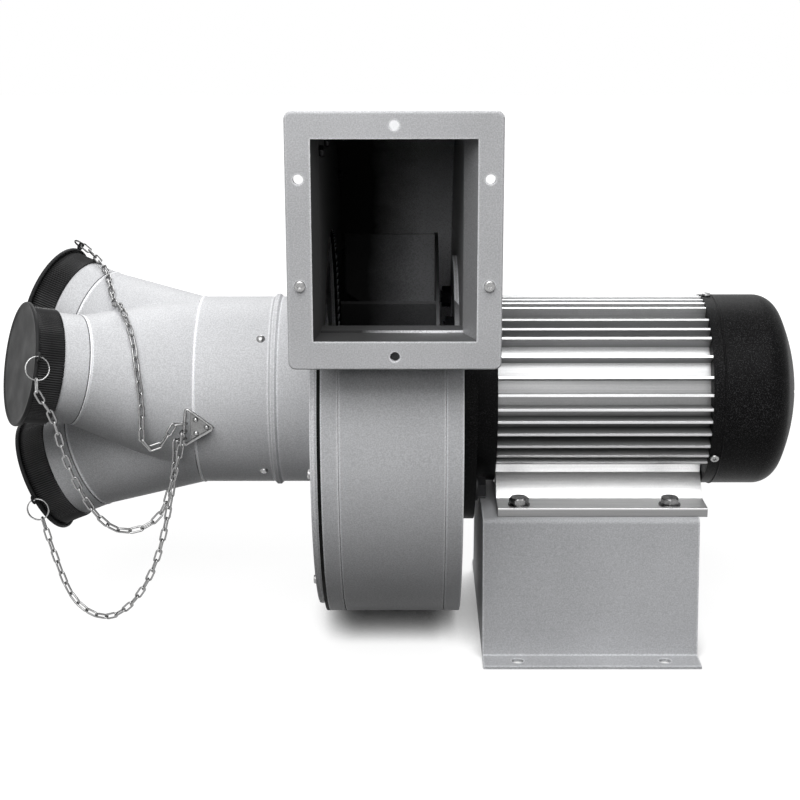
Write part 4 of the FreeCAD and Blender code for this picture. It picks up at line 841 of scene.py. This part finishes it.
def solids_of(node: str) -> list[np.ndarray]:
    """The separate solids of a CAD node.

    Args:
        node: the node's name.

    Returns:
        Each solid's points.
    """
    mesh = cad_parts[node].data
    spots, merged = merged_points(mesh)
    parent = list(range(int(merged.max()) + 1))

    def top(item: int) -> int:
        """The group's first point.

        Args:
            item: a point's number.

        Returns:
            The first point's number.
        """
        while parent[item] != item:
            parent[item] = parent[parent[item]]
            item = parent[item]
        return item

    for polygon in mesh.polygons:
        first, *rest = (top(int(merged[v])) for v in polygon.vertices)
        for other in rest:
            parent[top(other)] = top(first)
    groups: dict[int, list[int]] = {}
    for i, item in enumerate(merged):
        groups.setdefault(top(int(item)), []).append(i)
    return [spots[members] for members in groups.values()]


def centres_of(node: str) -> list[Vector]:
    """The middle of each solid in a CAD node, in a steady order."""
    found = [Vector((points.max(0) + points.min(0)) / 2) for points in solids_of(node)]
    return sorted(found, key=lambda p: (round(p.x, 4), round(p.y, 4), round(p.z, 4)))


def soften_shading(thing: bpy.types.Object, limit: float = 32.0) -> None:
    """Shades a CAD mesh smoothly over its tangent facets, and leaves its points alone.

    Args:
        thing: the node's object.
        limit: the angle in degrees over which an edge stays sharp.
    """
    mesh = thing.data
    _, merged = merged_points(mesh)
    corners = np.zeros(len(mesh.loops), int)
    mesh.loops.foreach_get("vertex_index", corners)
    owners = np.zeros(len(mesh.loops), int)
    flats = np.zeros((len(mesh.polygons), 3))
    areas = np.zeros(len(mesh.polygons))
    for polygon in mesh.polygons:
        owners[polygon.loop_start:polygon.loop_start + polygon.loop_total] = polygon.index
        flats[polygon.index], areas[polygon.index] = polygon.normal, polygon.area
    groups = merged[corners]
    order = np.argsort(groups, kind="stable")
    edges = np.flatnonzero(np.diff(groups[order])) + 1
    normals = flats[owners]
    floor = math.cos(math.radians(limit))
    for members in np.split(order, edges):
        own = flats[owners[members]]
        near = (own @ own.T) > floor
        mixed = near @ (own * (areas[owners[members]][:, None] + TINY_AREA))
        lengths = np.linalg.norm(mixed, axis=1, keepdims=True)
        normals[members] = np.where(lengths > TINY_LENGTH, mixed / np.maximum(lengths, TINY_LENGTH), own)
    mesh.polygons.foreach_set("use_smooth", [True] * len(mesh.polygons))
    mesh.normals_split_custom_set([tuple(n) for n in normals])


def within(number: float, limits: Limits) -> bool:
    """Whether a number lies between two limits."""
    return limits[0] < number < limits[1]


@dataclass(frozen=True)
class AirPath:
    """Limits of the space that carries air: x along the shaft, y to the back, rise over the shaft."""

    casing_middle: float = -0.182
    casing_x: Limits = (-0.2432, -0.1212)
    wrapper_x: Limits = (-0.242, -0.122)
    sides_apart: float = 0.0602
    tongue_y: Limits = (-0.2, -0.08)
    tongue_rise: Limits = (0.08, 0.15)
    tongue_front_rise: float = 0.09
    outlet_y: float = -0.1949
    outlet_low: float = 0.074
    outlet_x: Limits = (-0.2462, -0.1118)
    outlet_rise: Limits = (0.0945, 0.2612)
    outlet_middle: Pair = (-0.18, 0.178)
    outlet_ends: Pair = (-0.226, -0.2289)
    straight: float = 0.7
    upward: float = 0.3
    forward: float = 0.5
    clear: float = 0.001

    def seen_by(self, middle: Vector, way: Vector) -> bool:
        """Whether a face looks into the casing or the duct.

        Args:
            middle: the face's middle.
            way: its direction.

        Returns:
            True if it does.
        """
        x, y, rise = middle.x, middle.y, middle.z - SHAFT.z
        if y < self.outlet_y and rise > self.outlet_low:
            inside = within(x, self.outlet_x) and within(rise, self.outlet_rise)
            if way.y < -self.straight:
                return inside and y > self.outlet_ends[0]
            centre = Vector((self.outlet_middle[0], y, SHAFT.z + self.outlet_middle[1]))
            inward = (centre - middle).dot(way) > self.clear and abs(way.y) < self.straight
            return inside and inward and y > self.outlet_ends[1]
        if not within(x, self.casing_x):
            return False
        tongue = within(y, self.tongue_y) and within(rise, self.tongue_rise)
        if tongue and (way.z > self.upward or rise > self.tongue_front_rise and way.y < -self.forward):
            return True
        if abs(way.x) > self.straight:
            return (self.casing_middle - x) * way.x > 0 and abs(x - self.casing_middle) < self.sides_apart
        return (on_shaft(x) - middle).dot(way) > 0 and within(x, self.wrapper_x)


@dataclass
class CadDress:
    """Finishes of the CAD nodes that stay visible."""

    finishes: dict[str, Finish]
    lined: tuple[str, ...] = ("outlet_duct", "scroll_wrapper", "scroll_inlet_side", "scroll_motor_side",
                              "motor_mount_ring", "outlet_flange")
    air: AirPath = AirPath()

    def build(self) -> None:
        """Dresses every named node."""
        for node, finish in self.finishes.items():
            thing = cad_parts[node]
            thing.data.materials.clear()
            thing.data.materials.append(finish.material())
            if node in self.lined:
                self.line(thing)
            soften_shading(thing)
            LOG.info("%s: %s", node, finish.name)

    def line(self, thing: bpy.types.Object) -> None:
        """Puts the inside coat, lighter than the outside as painted light and with painted shade, on the
        faces that look into the air path.

        Args:
            thing: the node's object.
        """
        thing.data.materials.append(INSIDE_COAT.material())
        for polygon in thing.data.polygons:
            if self.air.seen_by(polygon.center, polygon.normal):
                polygon.material_index = 1


class Branch(Enum):
    """The three inlet branches."""

    FRONT = "front"
    UPPER = "upper"
    LOWER = "lower"


@dataclass
class HoseCap:
    """Cap on one inlet branch: rubber band, turned lid, wire eye and ring."""

    branch: Branch
    along: Vector
    ear_turn: float
    hook: bool = False
    start: Vector = field(default_factory=lambda: SHAFT + Vector((-0.31325, 0.0, 0.0)))
    grip_radius: float = 0.05035
    band_radius: float = 0.05255
    band_start: float = 0.205
    band_end: float = 0.2295
    ribs: int = 150
    rib_depth: float = 0.0008
    lid_radius: float = 0.0563
    sheet: float = 0.002
    dish: tuple[Pair, ...] = ((0.00005, -0.0004), (0.03, -0.00035), (0.046, -0.0002), (0.0498, 0.0))
    front_rim: tuple[Pair, ...] = ((0.0034, 0.0), (0.0026, 0.0004))
    roll: Pair = (0.00125, 0.0018)
    back_rim: tuple[Pair, ...] = ((0.003, -0.0002), (0.0042, 0.0))
    ear_reach: float = 0.0592
    ear_hole: float = 0.0019
    ear_radius: float = 0.0044
    soft: float = 0.0003
    ring_inset: float = 0.0008
    ring_wire: float = 0.00062
    ring_gap: float = 0.0011
    ring_step: float = 24.0
    hook_wire: float = 0.0009
    hook_turns: float = 0.86
    eye_wire: float = 0.0005
    eye_half: Pair = (0.0034, 0.0026)

    def __post_init__(self) -> None:
        """Works out the branch's own axes, and what the hook changes."""
        self.along = self.along.normalized()
        self.front = Vector((0.0, 0.0, 1.0)).cross(self.along).normalized()
        self.up = self.along.cross(self.front)
        turn = math.radians(self.ear_turn)
        self.ear_way = self.front * math.cos(turn) + self.up * math.sin(turn)
        self.body = self.branch.value + "_cap"
        self.wire_finish = DARK_ZINC if self.hook else ZINC

    def place(self, distance: float) -> Matrix:
        """Local axes at a distance along the branch, with X to its front."""
        return placed(self.start + self.along * distance, self.along, self.front)

    def build(self) -> None:
        """Builds the cap's pieces."""
        self.band()
        self.lid()
        self.ring()
        self.eye()

    def band(self) -> None:
        """Rubber band with fine ribs that run along the branch and waver a little."""
        length, around = self.band_end - self.band_start, self.ribs * 4

        def ribbed(radius: float, turn: float) -> float:
            """The radius with its rib, where the wall is the outer one.

            Args:
                radius: the plain radius.
                turn: the angle about the axis.

            Returns:
                The radius there.
            """
            if radius < self.band_radius - self.rib_depth - 0.0001:
                return radius
            waver = 0.35 * math.sin(5 * turn + self.ear_turn) + 0.2 * math.sin(13 * turn)
            return radius - self.rib_depth * (0.5 + 0.5 * math.cos(self.ribs * turn + waver))

        steps = [(0.0, -0.0006), (0.0012, -0.0001), (0.0022, 0.0), (0.25 * length, 0.0),
                 (0.5 * length, -0.00012), (0.75 * length, 0.0), (length - 0.0014, 0.0),
                 (length - self.soft, -0.0006)]
        outer = [(self.band_radius + inset, height) for height, inset in steps]
        inner = [(self.grip_radius, length - self.soft), (self.grip_radius, 0.0)]
        rubber = RibbedRubber("band_rubber_" + self.branch.value, (0.03, 0.03, 0.031), 0.4, "rubber_black",
                              shine=0.2, middle=tuple(self.start), along=tuple(self.along))
        Skin().turned(outer + inner, self.place(self.band_start), around, ribbed, close=False).piece(
            "band_ribs_" + self.branch.value, rubber, self.body, ["band_" + self.branch.value], 50.0)

    def lid(self) -> None:
        """Turned lid: shallow dish, rolled edge and the ear that holds the ring."""
        back, front, edge = self.band_end, self.band_end + self.sheet, self.lid_radius
        profile = [(radius, front + depth) for radius, depth in self.dish]
        profile += [(edge - inset, front + rise) for inset, rise in self.front_rim]
        across, along = self.roll
        for step in range(13):
            turn = math.radians(130 - 25.5 * step)
            profile.append((edge - across + across * math.cos(turn),
                            back + self.sheet / 2 + along * math.sin(turn)))
        profile += [(edge - inset, back + rise) for inset, rise in self.back_rim]
        profile.append((self.dish[0][0], back))
        finish = SpunSheet("spun_lid_" + self.branch.value, (0.03, 0.0303, 0.031), 0.42, "lid_steel",
                           shine=0.06, middle=tuple(self.start), along=tuple(self.along))
        skin = Skin().turned(profile, self.place(0.0), 96)
        self.ear(skin)
        skin.piece("turned_lid_" + self.branch.value, finish, self.body, ["lid_" + self.branch.value])

    def ear(self, skin: Skin) -> None:
        """Rounded ear with its hole, as one ring of sheet.

        Args:
            skin: the lid's skin, which the ear joins.
        """
        low, high = self.band_end + 0.0001, self.band_end + 0.0019
        hole, edge, soft = self.ear_hole, self.ear_radius, self.soft
        profile = [(hole, low), (edge - soft, low), (edge, low + soft), (edge, high - soft),
                   (edge - soft, high), (hole + soft, high), (hole, high - soft)]
        middle = self.start + self.ear_way * self.ear_reach
        skin.turned(profile, placed(middle, self.along, self.ear_way), 28, close=False)

    def ring(self) -> None:
        """Split ring of two turns, or the dark open hook of the upper cap."""
        node = "ring_" + self.branch.value
        points = solids_of(node)[0]
        offsets = points - points.mean(0)
        _, _, axes = np.linalg.svd(offsets, full_matrices=False)
        axis = Vector(axes[2])
        flat = offsets - np.outer(offsets @ axes[2], axes[2])
        radius = float(np.linalg.norm(flat, axis=1).max()) - self.ring_inset
        place = placed(Vector(points.mean(0)), axis)
        wire, turns, count = self.ring_wire, 2.0, 120
        if self.hook:
            wire, turns, count = self.hook_wire, self.hook_turns, 44
        path = []
        for i in range(count + 1):
            turn = 2 * math.pi * turns * i / count
            step = 1 / (1 + math.exp(-(turn / (2 * math.pi) - 1) * self.ring_step)) - 0.5
            rise = 0.0 if self.hook else self.ring_gap * step
            path.append(place @ Vector((radius * math.cos(turn), radius * math.sin(turn), rise)))
        Skin().swept(path, wire, 10, across=axis).piece(
            "wire_ring_" + self.branch.value, self.wire_finish, self.body, [node])

    def eye(self) -> None:
        """Small wire loop that holds the ring to the ear."""
        out, (far, high), along = self.ear_way, self.eye_half, self.along
        middle = self.start + along * (self.band_end + self.sheet / 2) + out * (self.ear_reach - 0.0004)
        turns = [2 * math.pi * i / 20 for i in range(20)]
        path = [middle + out * (far * math.cos(turn)) + along * (high * math.sin(turn)) for turn in turns]
        Skin().swept(path, self.eye_wire, 8, loop=True, across=along.cross(out)).piece(
            "wire_eye_" + self.branch.value, self.wire_finish, self.body)


@dataclass
class BranchSeams:
    """Fine weld lines in a lighter coat as a painted highlight, each with a dark painted shade line beside
    it, where branches, tube and spouts meet.
    """

    caps: list[HoseCap]
    spout_radius: float = 0.05
    spout_at: float = 0.1808
    spout_shade_at: float = 0.1822
    spout_wire: float = 0.0009
    tube_radius: float = 0.089
    tube_wire: float = 0.0011
    shade_wire: float = 0.0006
    shade_step: float = 0.0015
    shade_sink: float = 0.0001

    def build(self) -> None:
        """Builds one seam for each spout, and the one round the tube's end."""
        for cap in self.caps:
            name = "spout_seam_" + cap.branch.value
            bead(cap.place(self.spout_at), self.spout_radius, self.spout_wire).piece(name, SEAM_BRIGHT)
            bead(cap.place(self.spout_shade_at), self.spout_radius, self.shade_wire).piece(
                name + "_shade", SEAM_DARK)
        bead(placed(on_shaft(TUBE_END), TO_INLET), self.tube_radius, self.tube_wire).piece(
            "tube_seam", SEAM_BRIGHT)
        shade = placed(on_shaft(TUBE_END - self.shade_step), TO_INLET)
        bead(shade, self.tube_radius - self.shade_sink, self.shade_wire).piece("tube_seam_shade", SEAM_DARK)


@dataclass
class CowlLip:
    """Raised lip round the cowl, close to its open end."""

    at: float = 0.1197
    radius: float = 0.0906
    wire: float = 0.0011

    def build(self) -> None:
        """Builds the lip as one bead that lies halfway in the sheet."""
        bead(placed(on_shaft(self.at), ALONG_SHAFT), self.radius, self.wire, 10, 120).piece(
            "cowl_lip", COWL_BLACK)


@dataclass
class HangingChain:
    """Chain of straight links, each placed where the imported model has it."""

    branch: Branch
    bracket_end: Vector
    cap_end: Vector
    wire: float = 0.00095
    bend_steps: int = 8

    def build(self) -> None:
        """Builds the chain's links as one piece."""
        skin = Skin()
        for points in solids_of("chain_" + self.branch.value):
            self.link(skin, points)
        name = "chain_" + self.branch.value
        made = skin.piece("links_" + self.branch.value, CHAIN, None, [name], 60.0)
        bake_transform(made)

    def link(self, skin: Skin, points: np.ndarray) -> None:
        """One link of round wire, with straight sides and round ends.

        Args:
            skin: the chain's skin.
            points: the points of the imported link.
        """
        offsets = points - points.mean(0)
        _, _, axes = np.linalg.svd(offsets, full_matrices=False)
        centre = Vector(points.mean(0))
        along, side, through = (Vector(a) for a in axes)
        half, bend = (float(np.ptp(offsets @ a)) / 2 - self.wire for a in axes[:2])
        straight = half - bend
        path = []
        for end in (1, -1):
            for i in range(self.bend_steps + 1):
                turn = math.pi * (i / self.bend_steps - 0.5)
                path.append(centre + along * (end * (straight + bend * math.cos(turn)))
                            + side * (end * bend * math.sin(turn)))
        skin.swept(path, self.wire, 8, loop=True, across=through)


class Head(Enum):
    """Shapes of fastener heads."""

    PAN_STAR = "pan_star"
    PAN_CROSS = "pan_cross"
    HEXAGON = "hexagon"
    DOME = "dome"


@dataclass
class Fasteners:
    """Fasteners of one kind that stand for one CAD node."""

    name: str
    nodes: tuple[str, ...]
    head: Head
    radius: float
    height: float
    spots: list[Spot]
    shank: float = 0.0
    depth: float = 0.0
    washer: float = 0.0
    washer_sheet: float = 0.0014
    nut: float = 0.0
    nut_at: float = 0.0
    finish: Finish = ZINC

    def build(self) -> None:
        """Builds the heads as one piece, and their nuts as another."""
        skin = Skin()
        for i, (foot, axis) in enumerate(self.spots):
            self.one(skin, placed(foot, axis) @ Matrix.Rotation(0.7 * i + 0.3, 4, "Z"))
        skin.piece(self.name, self.finish, HOUSING, self.nodes, 32.0)
        if self.nut:
            nuts = Skin()
            for foot, axis in self.spots:
                self.hexagon(nuts, placed(foot, axis), self.nut_at - self.nut, self.nut_at)
            nuts.piece(self.name + "_nuts", BLACK_BOLT, HOUSING)

    def one(self, skin: Skin, place: Matrix) -> None:
        """A single fastener: washer, head and shank.

        Args:
            skin: the set's skin.
            place: local axes on the seat.
        """
        base, overlap, soft, taper = 0.0, 0.0005, 0.0002, 0.8
        if self.washer:
            base, edge = self.washer_sheet, self.washer
            skin.turned([(self.shank, 0.0), (edge - soft, 0.0), (edge, soft), (edge, base - soft),
                         (edge - soft, base), (self.shank, base)], place, 32, close=False)
        if self.head is Head.HEXAGON:
            self.hexagon(skin, place, base, base + self.height)
        elif self.head is Head.DOME:
            self.dome(skin, place)
        else:
            self.pan(skin, place, base)
        if self.shank:
            skin.turned([(self.shank, overlap), (self.shank, overlap - self.depth),
                         (self.shank * taper, -self.depth)], place, 16)

    def hexagon(self, skin: Skin, place: Matrix, low: float, high: float) -> None:
        """Six-sided block with turned corners at both ends.

        Args:
            skin: the set's skin.
            place: local axes on the seat.
            low: where the block starts.
            high: where the block ends.
        """
        flats = self.radius

        def sided(radius: float, turn: float) -> float:
            """The smaller of a circle and a hexagon."""
            return min(radius, flats / math.cos((turn % (math.pi / 3)) - math.pi / 6))

        corner, cut, hollow = flats / math.cos(math.pi / 6), flats * 0.14, flats * 0.4
        profile = [(hollow, low), (flats * 0.97, low), (corner, low + cut), (corner, high - cut),
                   (flats * 0.95, high), (hollow, high)]
        skin.turned(profile, place, 36, sided)

    def dome(self, skin: Skin, place: Matrix) -> None:
        """Round rivet head with a thin collar.

        Args:
            skin: the set's skin.
            place: local axes on the seat.
        """
        collar, low, edge, high = self.radius * 1.12, -0.0004, 0.0003, 0.0006
        profile = [(collar, low), (collar, edge), (self.radius, high)]
        for step in range(1, 8):
            turn = math.radians(90 * step / 8)
            profile.append((self.radius * math.cos(turn), high + (self.height - high) * math.sin(turn)))
        profile.append((self.radius * 0.05, self.height))
        skin.turned(profile, place, 28)

    def pan(self, skin: Skin, place: Matrix, base: float) -> None:
        """Low round head with a star or cross drive sunk into it.

        Args:
            skin: the set's skin.
            place: local axes on the seat.
            base: the height that the head starts at.
        """
        lobes, depth = (6, 0.24) if self.head is Head.PAN_STAR else (4, 0.5)
        mouth = self.radius * 0.52

        def drive(radius: float, turn: float) -> float:
            """The drive's outline inside the mouth, and a circle outside it.

            Args:
                radius: the plain radius.
                turn: the angle about the axis.

            Returns:
                The radius there.
            """
            if radius > mouth * 1.06:
                return radius
            return radius * (1 - depth * (0.5 - 0.5 * math.cos(lobes * turn)))

        top = base + self.height
        outline = ((0.96, 0.0), (1.0, 0.15), (1.0, 0.5), (0.93, 0.82), (0.78, 0.96))
        profile = [(self.radius * reach, base + self.height * rise) for reach, rise in outline]
        profile += [(mouth * 1.2, top), (mouth, top - 0.00005), (mouth * 0.94, top - self.height * 0.5),
                    (mouth * 0.3, top - self.height * 0.62)]
        skin.turned(profile, place, 48, drive)


@dataclass
class ChainBracket:
    """Wire triangle with its small plate and rivets, on the side of the tube."""

    face: float = -0.096
    wire: float = 0.0013
    bend: float = 0.0026
    bend_reach: float = 1.6
    corners: tuple[Pair, ...] = ((-0.006, 0.0067), (0.0194, -0.0124), (-0.0092, -0.029))
    rivets: tuple[Pair, ...] = ((0.0123, -0.0118), (0.0026, -0.0048), (0.0026, -0.0176))
    plate_inset: float = 0.0022
    plate_layers: tuple[Pair, ...] = ((0.97, 0.0), (1.0, 0.0003), (1.0, 0.0011), (0.97, 0.0014))

    def build(self) -> None:
        """Builds the wire, its plate and the rivet heads."""
        corners = self.spots(self.corners, self.face - self.wire)
        skin = Skin().swept(self.rounded(corners), self.wire, 12, loop=True, across=Vector((0.0, 1.0, 0.0)))
        skin.piece("wire_triangle", ZINC, HOUSING, ["chain_bracket"])
        self.plate().piece("bracket_plate", BOLT_ZINC, HOUSING)
        out = Vector((0.0, -1.0, 0.0))
        Fasteners("bracket_rivet_heads", ("bracket_rivets",), Head.DOME, 0.0022, 0.0021,
                  [(spot, out) for spot in self.spots(self.rivets, self.face)], shank=0.0021,
                  depth=0.0098).build()

    def spots(self, offsets: Sequence[Pair], y: float) -> list[Vector]:
        """Points beside the tube's end, from their offsets along and over the shaft."""
        return [Vector((TUBE_END + x, y, SHAFT.z + z)) for x, z in offsets]

    def rounded(self, corners: list[Vector]) -> list[Vector]:
        """The closed outline with an arc at each corner.

        Args:
            corners: the outline's sharp corners.

        Returns:
            The rounded outline's points.
        """
        path, reach = [], self.bend_reach
        for i, here in enumerate(corners):
            there = corners[(i + 1) % len(corners)]
            before, after = (corners[i - 1] - here).normalized(), (there - here).normalized()
            first, last = here + before * self.bend * reach, here + after * self.bend * reach
            for step in range(7):
                part = step / 6
                path.append(first.lerp(here, part).lerp(here.lerp(last, part), part))
            stop = there + (here - there).normalized() * self.bend * reach
            path += [last.lerp(stop, part) for part in (0.25, 0.5, 0.75)]
        return path

    def plate(self) -> Skin:
        """Small three-cornered plate with soft edges, under the wire's closed end.

        Returns:
            The plate's skin.
        """
        top, tip, low = self.spots(self.corners, 0.0)
        edge = TUBE_END - self.plate_inset
        first, second = (tip.lerp(end, (edge - tip.x) / (end.x - tip.x)) for end in (top, low))
        middle = (first + tip + second) / 3
        rings = []
        for shrink, y in self.plate_layers:
            ring = [middle.lerp(p, shrink) for p in (second, tip, first)]
            rings.append([Vector((p.x, self.face + y, p.z)) for p in ring])
        return Skin().loft(rings, True, True)


@dataclass(frozen=True)
class Lamp:
    """One soft area lamp, with its sides in metres and its power in watts."""

    name: str
    at: Point
    width: float
    height: float
    power: float

    def build(self, aim: Point) -> None:
        """Hangs the lamp.

        Args:
            aim: what it points at.
        """
        light = bpy.data.lights.new(self.name, "AREA")
        light.shape = "RECTANGLE"
        light.size, light.size_y, light.energy = self.width, self.height, self.power
        lamp = bpy.data.objects.new(self.name, light)
        bpy.context.scene.collection.objects.link(lamp)
        lamp.matrix_world = placed(self.at, Vector(self.at) - Vector(aim), ALONG_SHAFT)


@dataclass
class Studio:
    """Pale floor, soft lamps, white surroundings and the camera."""

    focal_px: float = 1567.6
    frame_px: float = 800.0
    sensor: float = 36.0
    camera_at: Point = (-0.16425, -1.4669, 0.6009)
    pitch: float = 14.78
    yaw: float = 0.17
    roll: float = -0.08
    sight: Pair = (408.7, 404.75)
    ambient: float = 0.035
    floor_half: float = 8.0
    floor_seen: float = 0.2
    floor_bounce: float = 0.03
    floor_glow: float = 0.9
    far_glow: float = 0.2
    contact: float = 0.038
    aim: Point = (-0.17, 0.0, 0.25)
    lamps: tuple[Lamp, ...] = (
        Lamp("key_lamp", (-0.25, -1.15, 1.8), 1.8, 1.6, 42.0),
        Lamp("front_lamp", (-0.45, -2.2, 1.15), 0.9, 0.9, 10.0),
        Lamp("back_lamp", (-0.2, 1.5, 1.7), 1.4, 0.8, 18.0),
    )

    def build(self) -> None:
        """Sets up the camera first, then the floor and the light."""
        self.camera()
        self.floor()
        self.world()
        for lamp in self.lamps:
            lamp.build(self.aim)

    def camera(self) -> None:
        """Camera at the photograph's viewpoint."""
        lens = bpy.data.cameras.new("camera")
        lens.sensor_width = self.sensor
        lens.lens = self.sensor * self.focal_px / self.frame_px
        lens.shift_x = (self.frame_px / 2 - self.sight[0]) / self.frame_px
        lens.shift_y = (self.sight[1] - self.frame_px / 2) / self.frame_px
        lens.clip_start, lens.clip_end = 0.05, 30.0
        eye = bpy.data.objects.new("camera", lens)
        bpy.context.scene.collection.objects.link(eye)
        turn = (Matrix.Rotation(math.radians(self.yaw), 4, "Z")
                @ Matrix.Rotation(math.radians(90.0 - self.pitch), 4, "X")
                @ Matrix.Rotation(math.radians(self.roll), 4, "Z"))
        eye.matrix_world = Matrix.Translation(self.camera_at) @ turn
        bpy.context.scene.camera = eye
        bpy.context.scene.view_settings.view_transform = "Standard"

    def floor(self) -> None:
        """Pale floor that shows white to the eye, keeps the lamps' soft shadows and has a painted contact
        shadow.
        """
        mesh = bpy.data.meshes.new("floor")
        half = self.floor_half
        mesh.from_pydata([(-half, -half, 0), (half, -half, 0), (half, half, 0), (-half, half, 0)], [],
                         [(0, 1, 2, 3)])
        ground = bpy.data.objects.new("floor", mesh)
        bpy.context.scene.collection.objects.link(ground)
        graph = Graph("pale_floor")
        graph.surface.inputs["Roughness"].default_value = 0.9
        graph.surface.inputs["Specular IOR Level"].default_value = 0.0
        seen = graph.seen_rays()
        pale, dull = ((level, level, level) for level in (self.floor_seen, self.floor_bounce))
        graph.join(graph.tint(seen, dull, pale), graph.surface, "Base Color")
        # Painted contact shadow: the glow dims where ambient occlusion finds the object close above the
        # floor.
        open_sky = graph.add("ShaderNodeAmbientOcclusion", {"Distance": self.contact}, samples=12)
        near = graph.span(open_sky.outputs["AO"], 0.2, 0.7, 0.0, self.floor_glow)
        reach = graph.add("ShaderNodeVectorMath", {0: graph.place}, operation="LENGTH").outputs[1]
        rise = graph.maths("ADD", near, graph.span(reach, 0.6, 1.6, 0.0, self.far_glow))
        strength = graph.maths("MULTIPLY", seen, rise)
        glow = graph.add("ShaderNodeEmission", {"Color": (1.0, 1.0, 1.0, 1.0), "Strength": strength})
        both = graph.add("ShaderNodeAddShader", {0: graph.surface.outputs[0], 1: glow.outputs[0]})
        graph.join(both.outputs[0], graph.output, "Surface")
        mesh.materials.append(graph.material)

    def world(self) -> None:
        """White surroundings for the eye and for gloss, and a plain level of light."""
        world = bpy.data.worlds.new("studio")
        bpy.context.scene.world = world
        world.use_nodes = True
        nodes = Nodes(world.node_tree)
        strength = nodes.span(nodes.seen_rays(), 0.0, 1.0, self.ambient, 1.0)
        sky = nodes.add("ShaderNodeBackground", {"Color": (1.0, 1.0, 1.0, 1.0), "Strength": strength})
        nodes.add("ShaderNodeOutputWorld", {"Surface": sky.outputs[0]})


def unique(spots: list[Spot], apart: float = 0.002) -> list[Spot]:
    """The spots without repeats.

    Args:
        spots: places with their directions.
        apart: how far two places have to lie from each other.

    Returns:
        The first of each place.
    """
    kept: list[Spot] = []
    for spot, axis in spots:
        if all((spot - other).length > apart for other, _ in kept):
            kept.append((spot, axis))
    return kept


def on_drum(node: str, radius: float) -> list[Spot]:
    """Fasteners that stand on a drum about the shaft.

    Args:
        node: their CAD node.
        radius: the drum's radius.

    Returns:
        Their seats, with the directions away from the shaft.
    """
    spots = []
    for p in centres_of(node):
        away = Vector((0.0, p.y, p.z - SHAFT.z)).normalized()
        spots.append((on_shaft(p.x) + away * radius, away))
    return spots


@dataclass
class FastenerSets:
    """Every set of visible fasteners, each on the face that its CAD node stands on."""

    foot_top: float = -0.0915
    sheet_low: float = 0.1
    plate_face: float = -0.2525
    flange_face: float = -0.229
    box_face: float = 0.12
    tube_radius: float = 0.0891
    cowl_radius: float = 0.0906

    def build(self) -> None:
        """Builds the sets on flat faces, then those on the tube and the cowl."""
        up, out, back, inlet = (Vector(v) for v in ((0, 0, 1), (0, -1, 0), (0, 1, 0), TO_INLET))
        bolts = [p for p in centres_of("foot_bolts") if p.z > self.sheet_low]
        feet = unique([(Vector((p.x, p.y, SHAFT.z + self.foot_top)), up) for p in bolts])
        plate = [(Vector((self.plate_face, p.y, p.z)), inlet) for p in centres_of("plate_screws")]
        flange = [(Vector((p.x, self.flange_face, p.z)), out) for p in centres_of("flange_screws")]
        lid = [(Vector((p.x, self.box_face, p.z)), back) for p in centres_of("terminal_lid_screws")]
        tube = on_drum("tube_rivets", self.tube_radius)
        cowl = on_drum("cowl_screws", self.cowl_radius)
        Fasteners("foot_bolt_set", ("foot_bolts",), Head.HEXAGON, 0.008, 0.0064, feet, shank=0.005,
                  depth=0.024, washer=0.0102, nut=0.0075, nut_at=-0.0117, finish=BOLT_ZINC).build()
        Fasteners("plate_screw_set", ("plate_screws",), Head.PAN_STAR, 0.00425, 0.003, plate, shank=0.0025,
                  depth=0.0155, nut=0.004, nut_at=-0.0115).build()
        Fasteners("flange_screw_set", ("flange_screws",), Head.PAN_STAR, 0.0046, 0.0026, flange,
                  shank=0.003, depth=0.011).build()
        Fasteners("tube_rivet_set", ("tube_rivets",), Head.DOME, 0.0036, 0.0024, tube).build()
        Fasteners("cowl_screw_set", ("cowl_screws",), Head.PAN_CROSS, 0.0042, 0.0028, cowl, shank=0.0022,
                  depth=0.004).build()
        Fasteners("lid_screw_set", ("terminal_lid_screws",), Head.PAN_CROSS, 0.0036, 0.0026, lid,
                  shank=0.0019, depth=0.006).build()


CAP_WAYS = {Branch.FRONT: (-0.8801, -0.4268, 0.2078), Branch.UPPER: (-0.8956, 0.3168, 0.3122),
            Branch.LOWER: (-0.9230, 0.0346, -0.3833)}
EAR_TURNS = {Branch.FRONT: 18.0, Branch.UPPER: 110.0, Branch.LOWER: -8.0}
BRACKET_HOLD = (-0.3723, -0.1, -0.014)
CAP_HOLDS = {Branch.FRONT: (-0.4882, -0.1474, 0.0458), Branch.UPPER: (-0.4967, 0.0864, 0.1248),
             Branch.LOWER: (-0.5251, -0.0507, -0.116)}


def main() -> None:
    """Builds the studio and every sub-assembly in order."""
    logging.basicConfig(level=logging.INFO, format="%(name)s: %(message)s")
    Studio().build()
    CadDress(NODE_FINISHES).build()
    caps = [HoseCap(branch, Vector(way), EAR_TURNS[branch], branch is Branch.UPPER)
            for branch, way in CAP_WAYS.items()]
    for cap in caps:
        cap.build()
    BranchSeams(caps).build()
    CowlLip().build()
    ChainBracket().build()
    for branch, hold in CAP_HOLDS.items():
        HangingChain(branch, SHAFT + Vector(BRACKET_HOLD), SHAFT + Vector(hold)).build()
    FastenerSets().build()


if __name__ == "__main__":
    main()
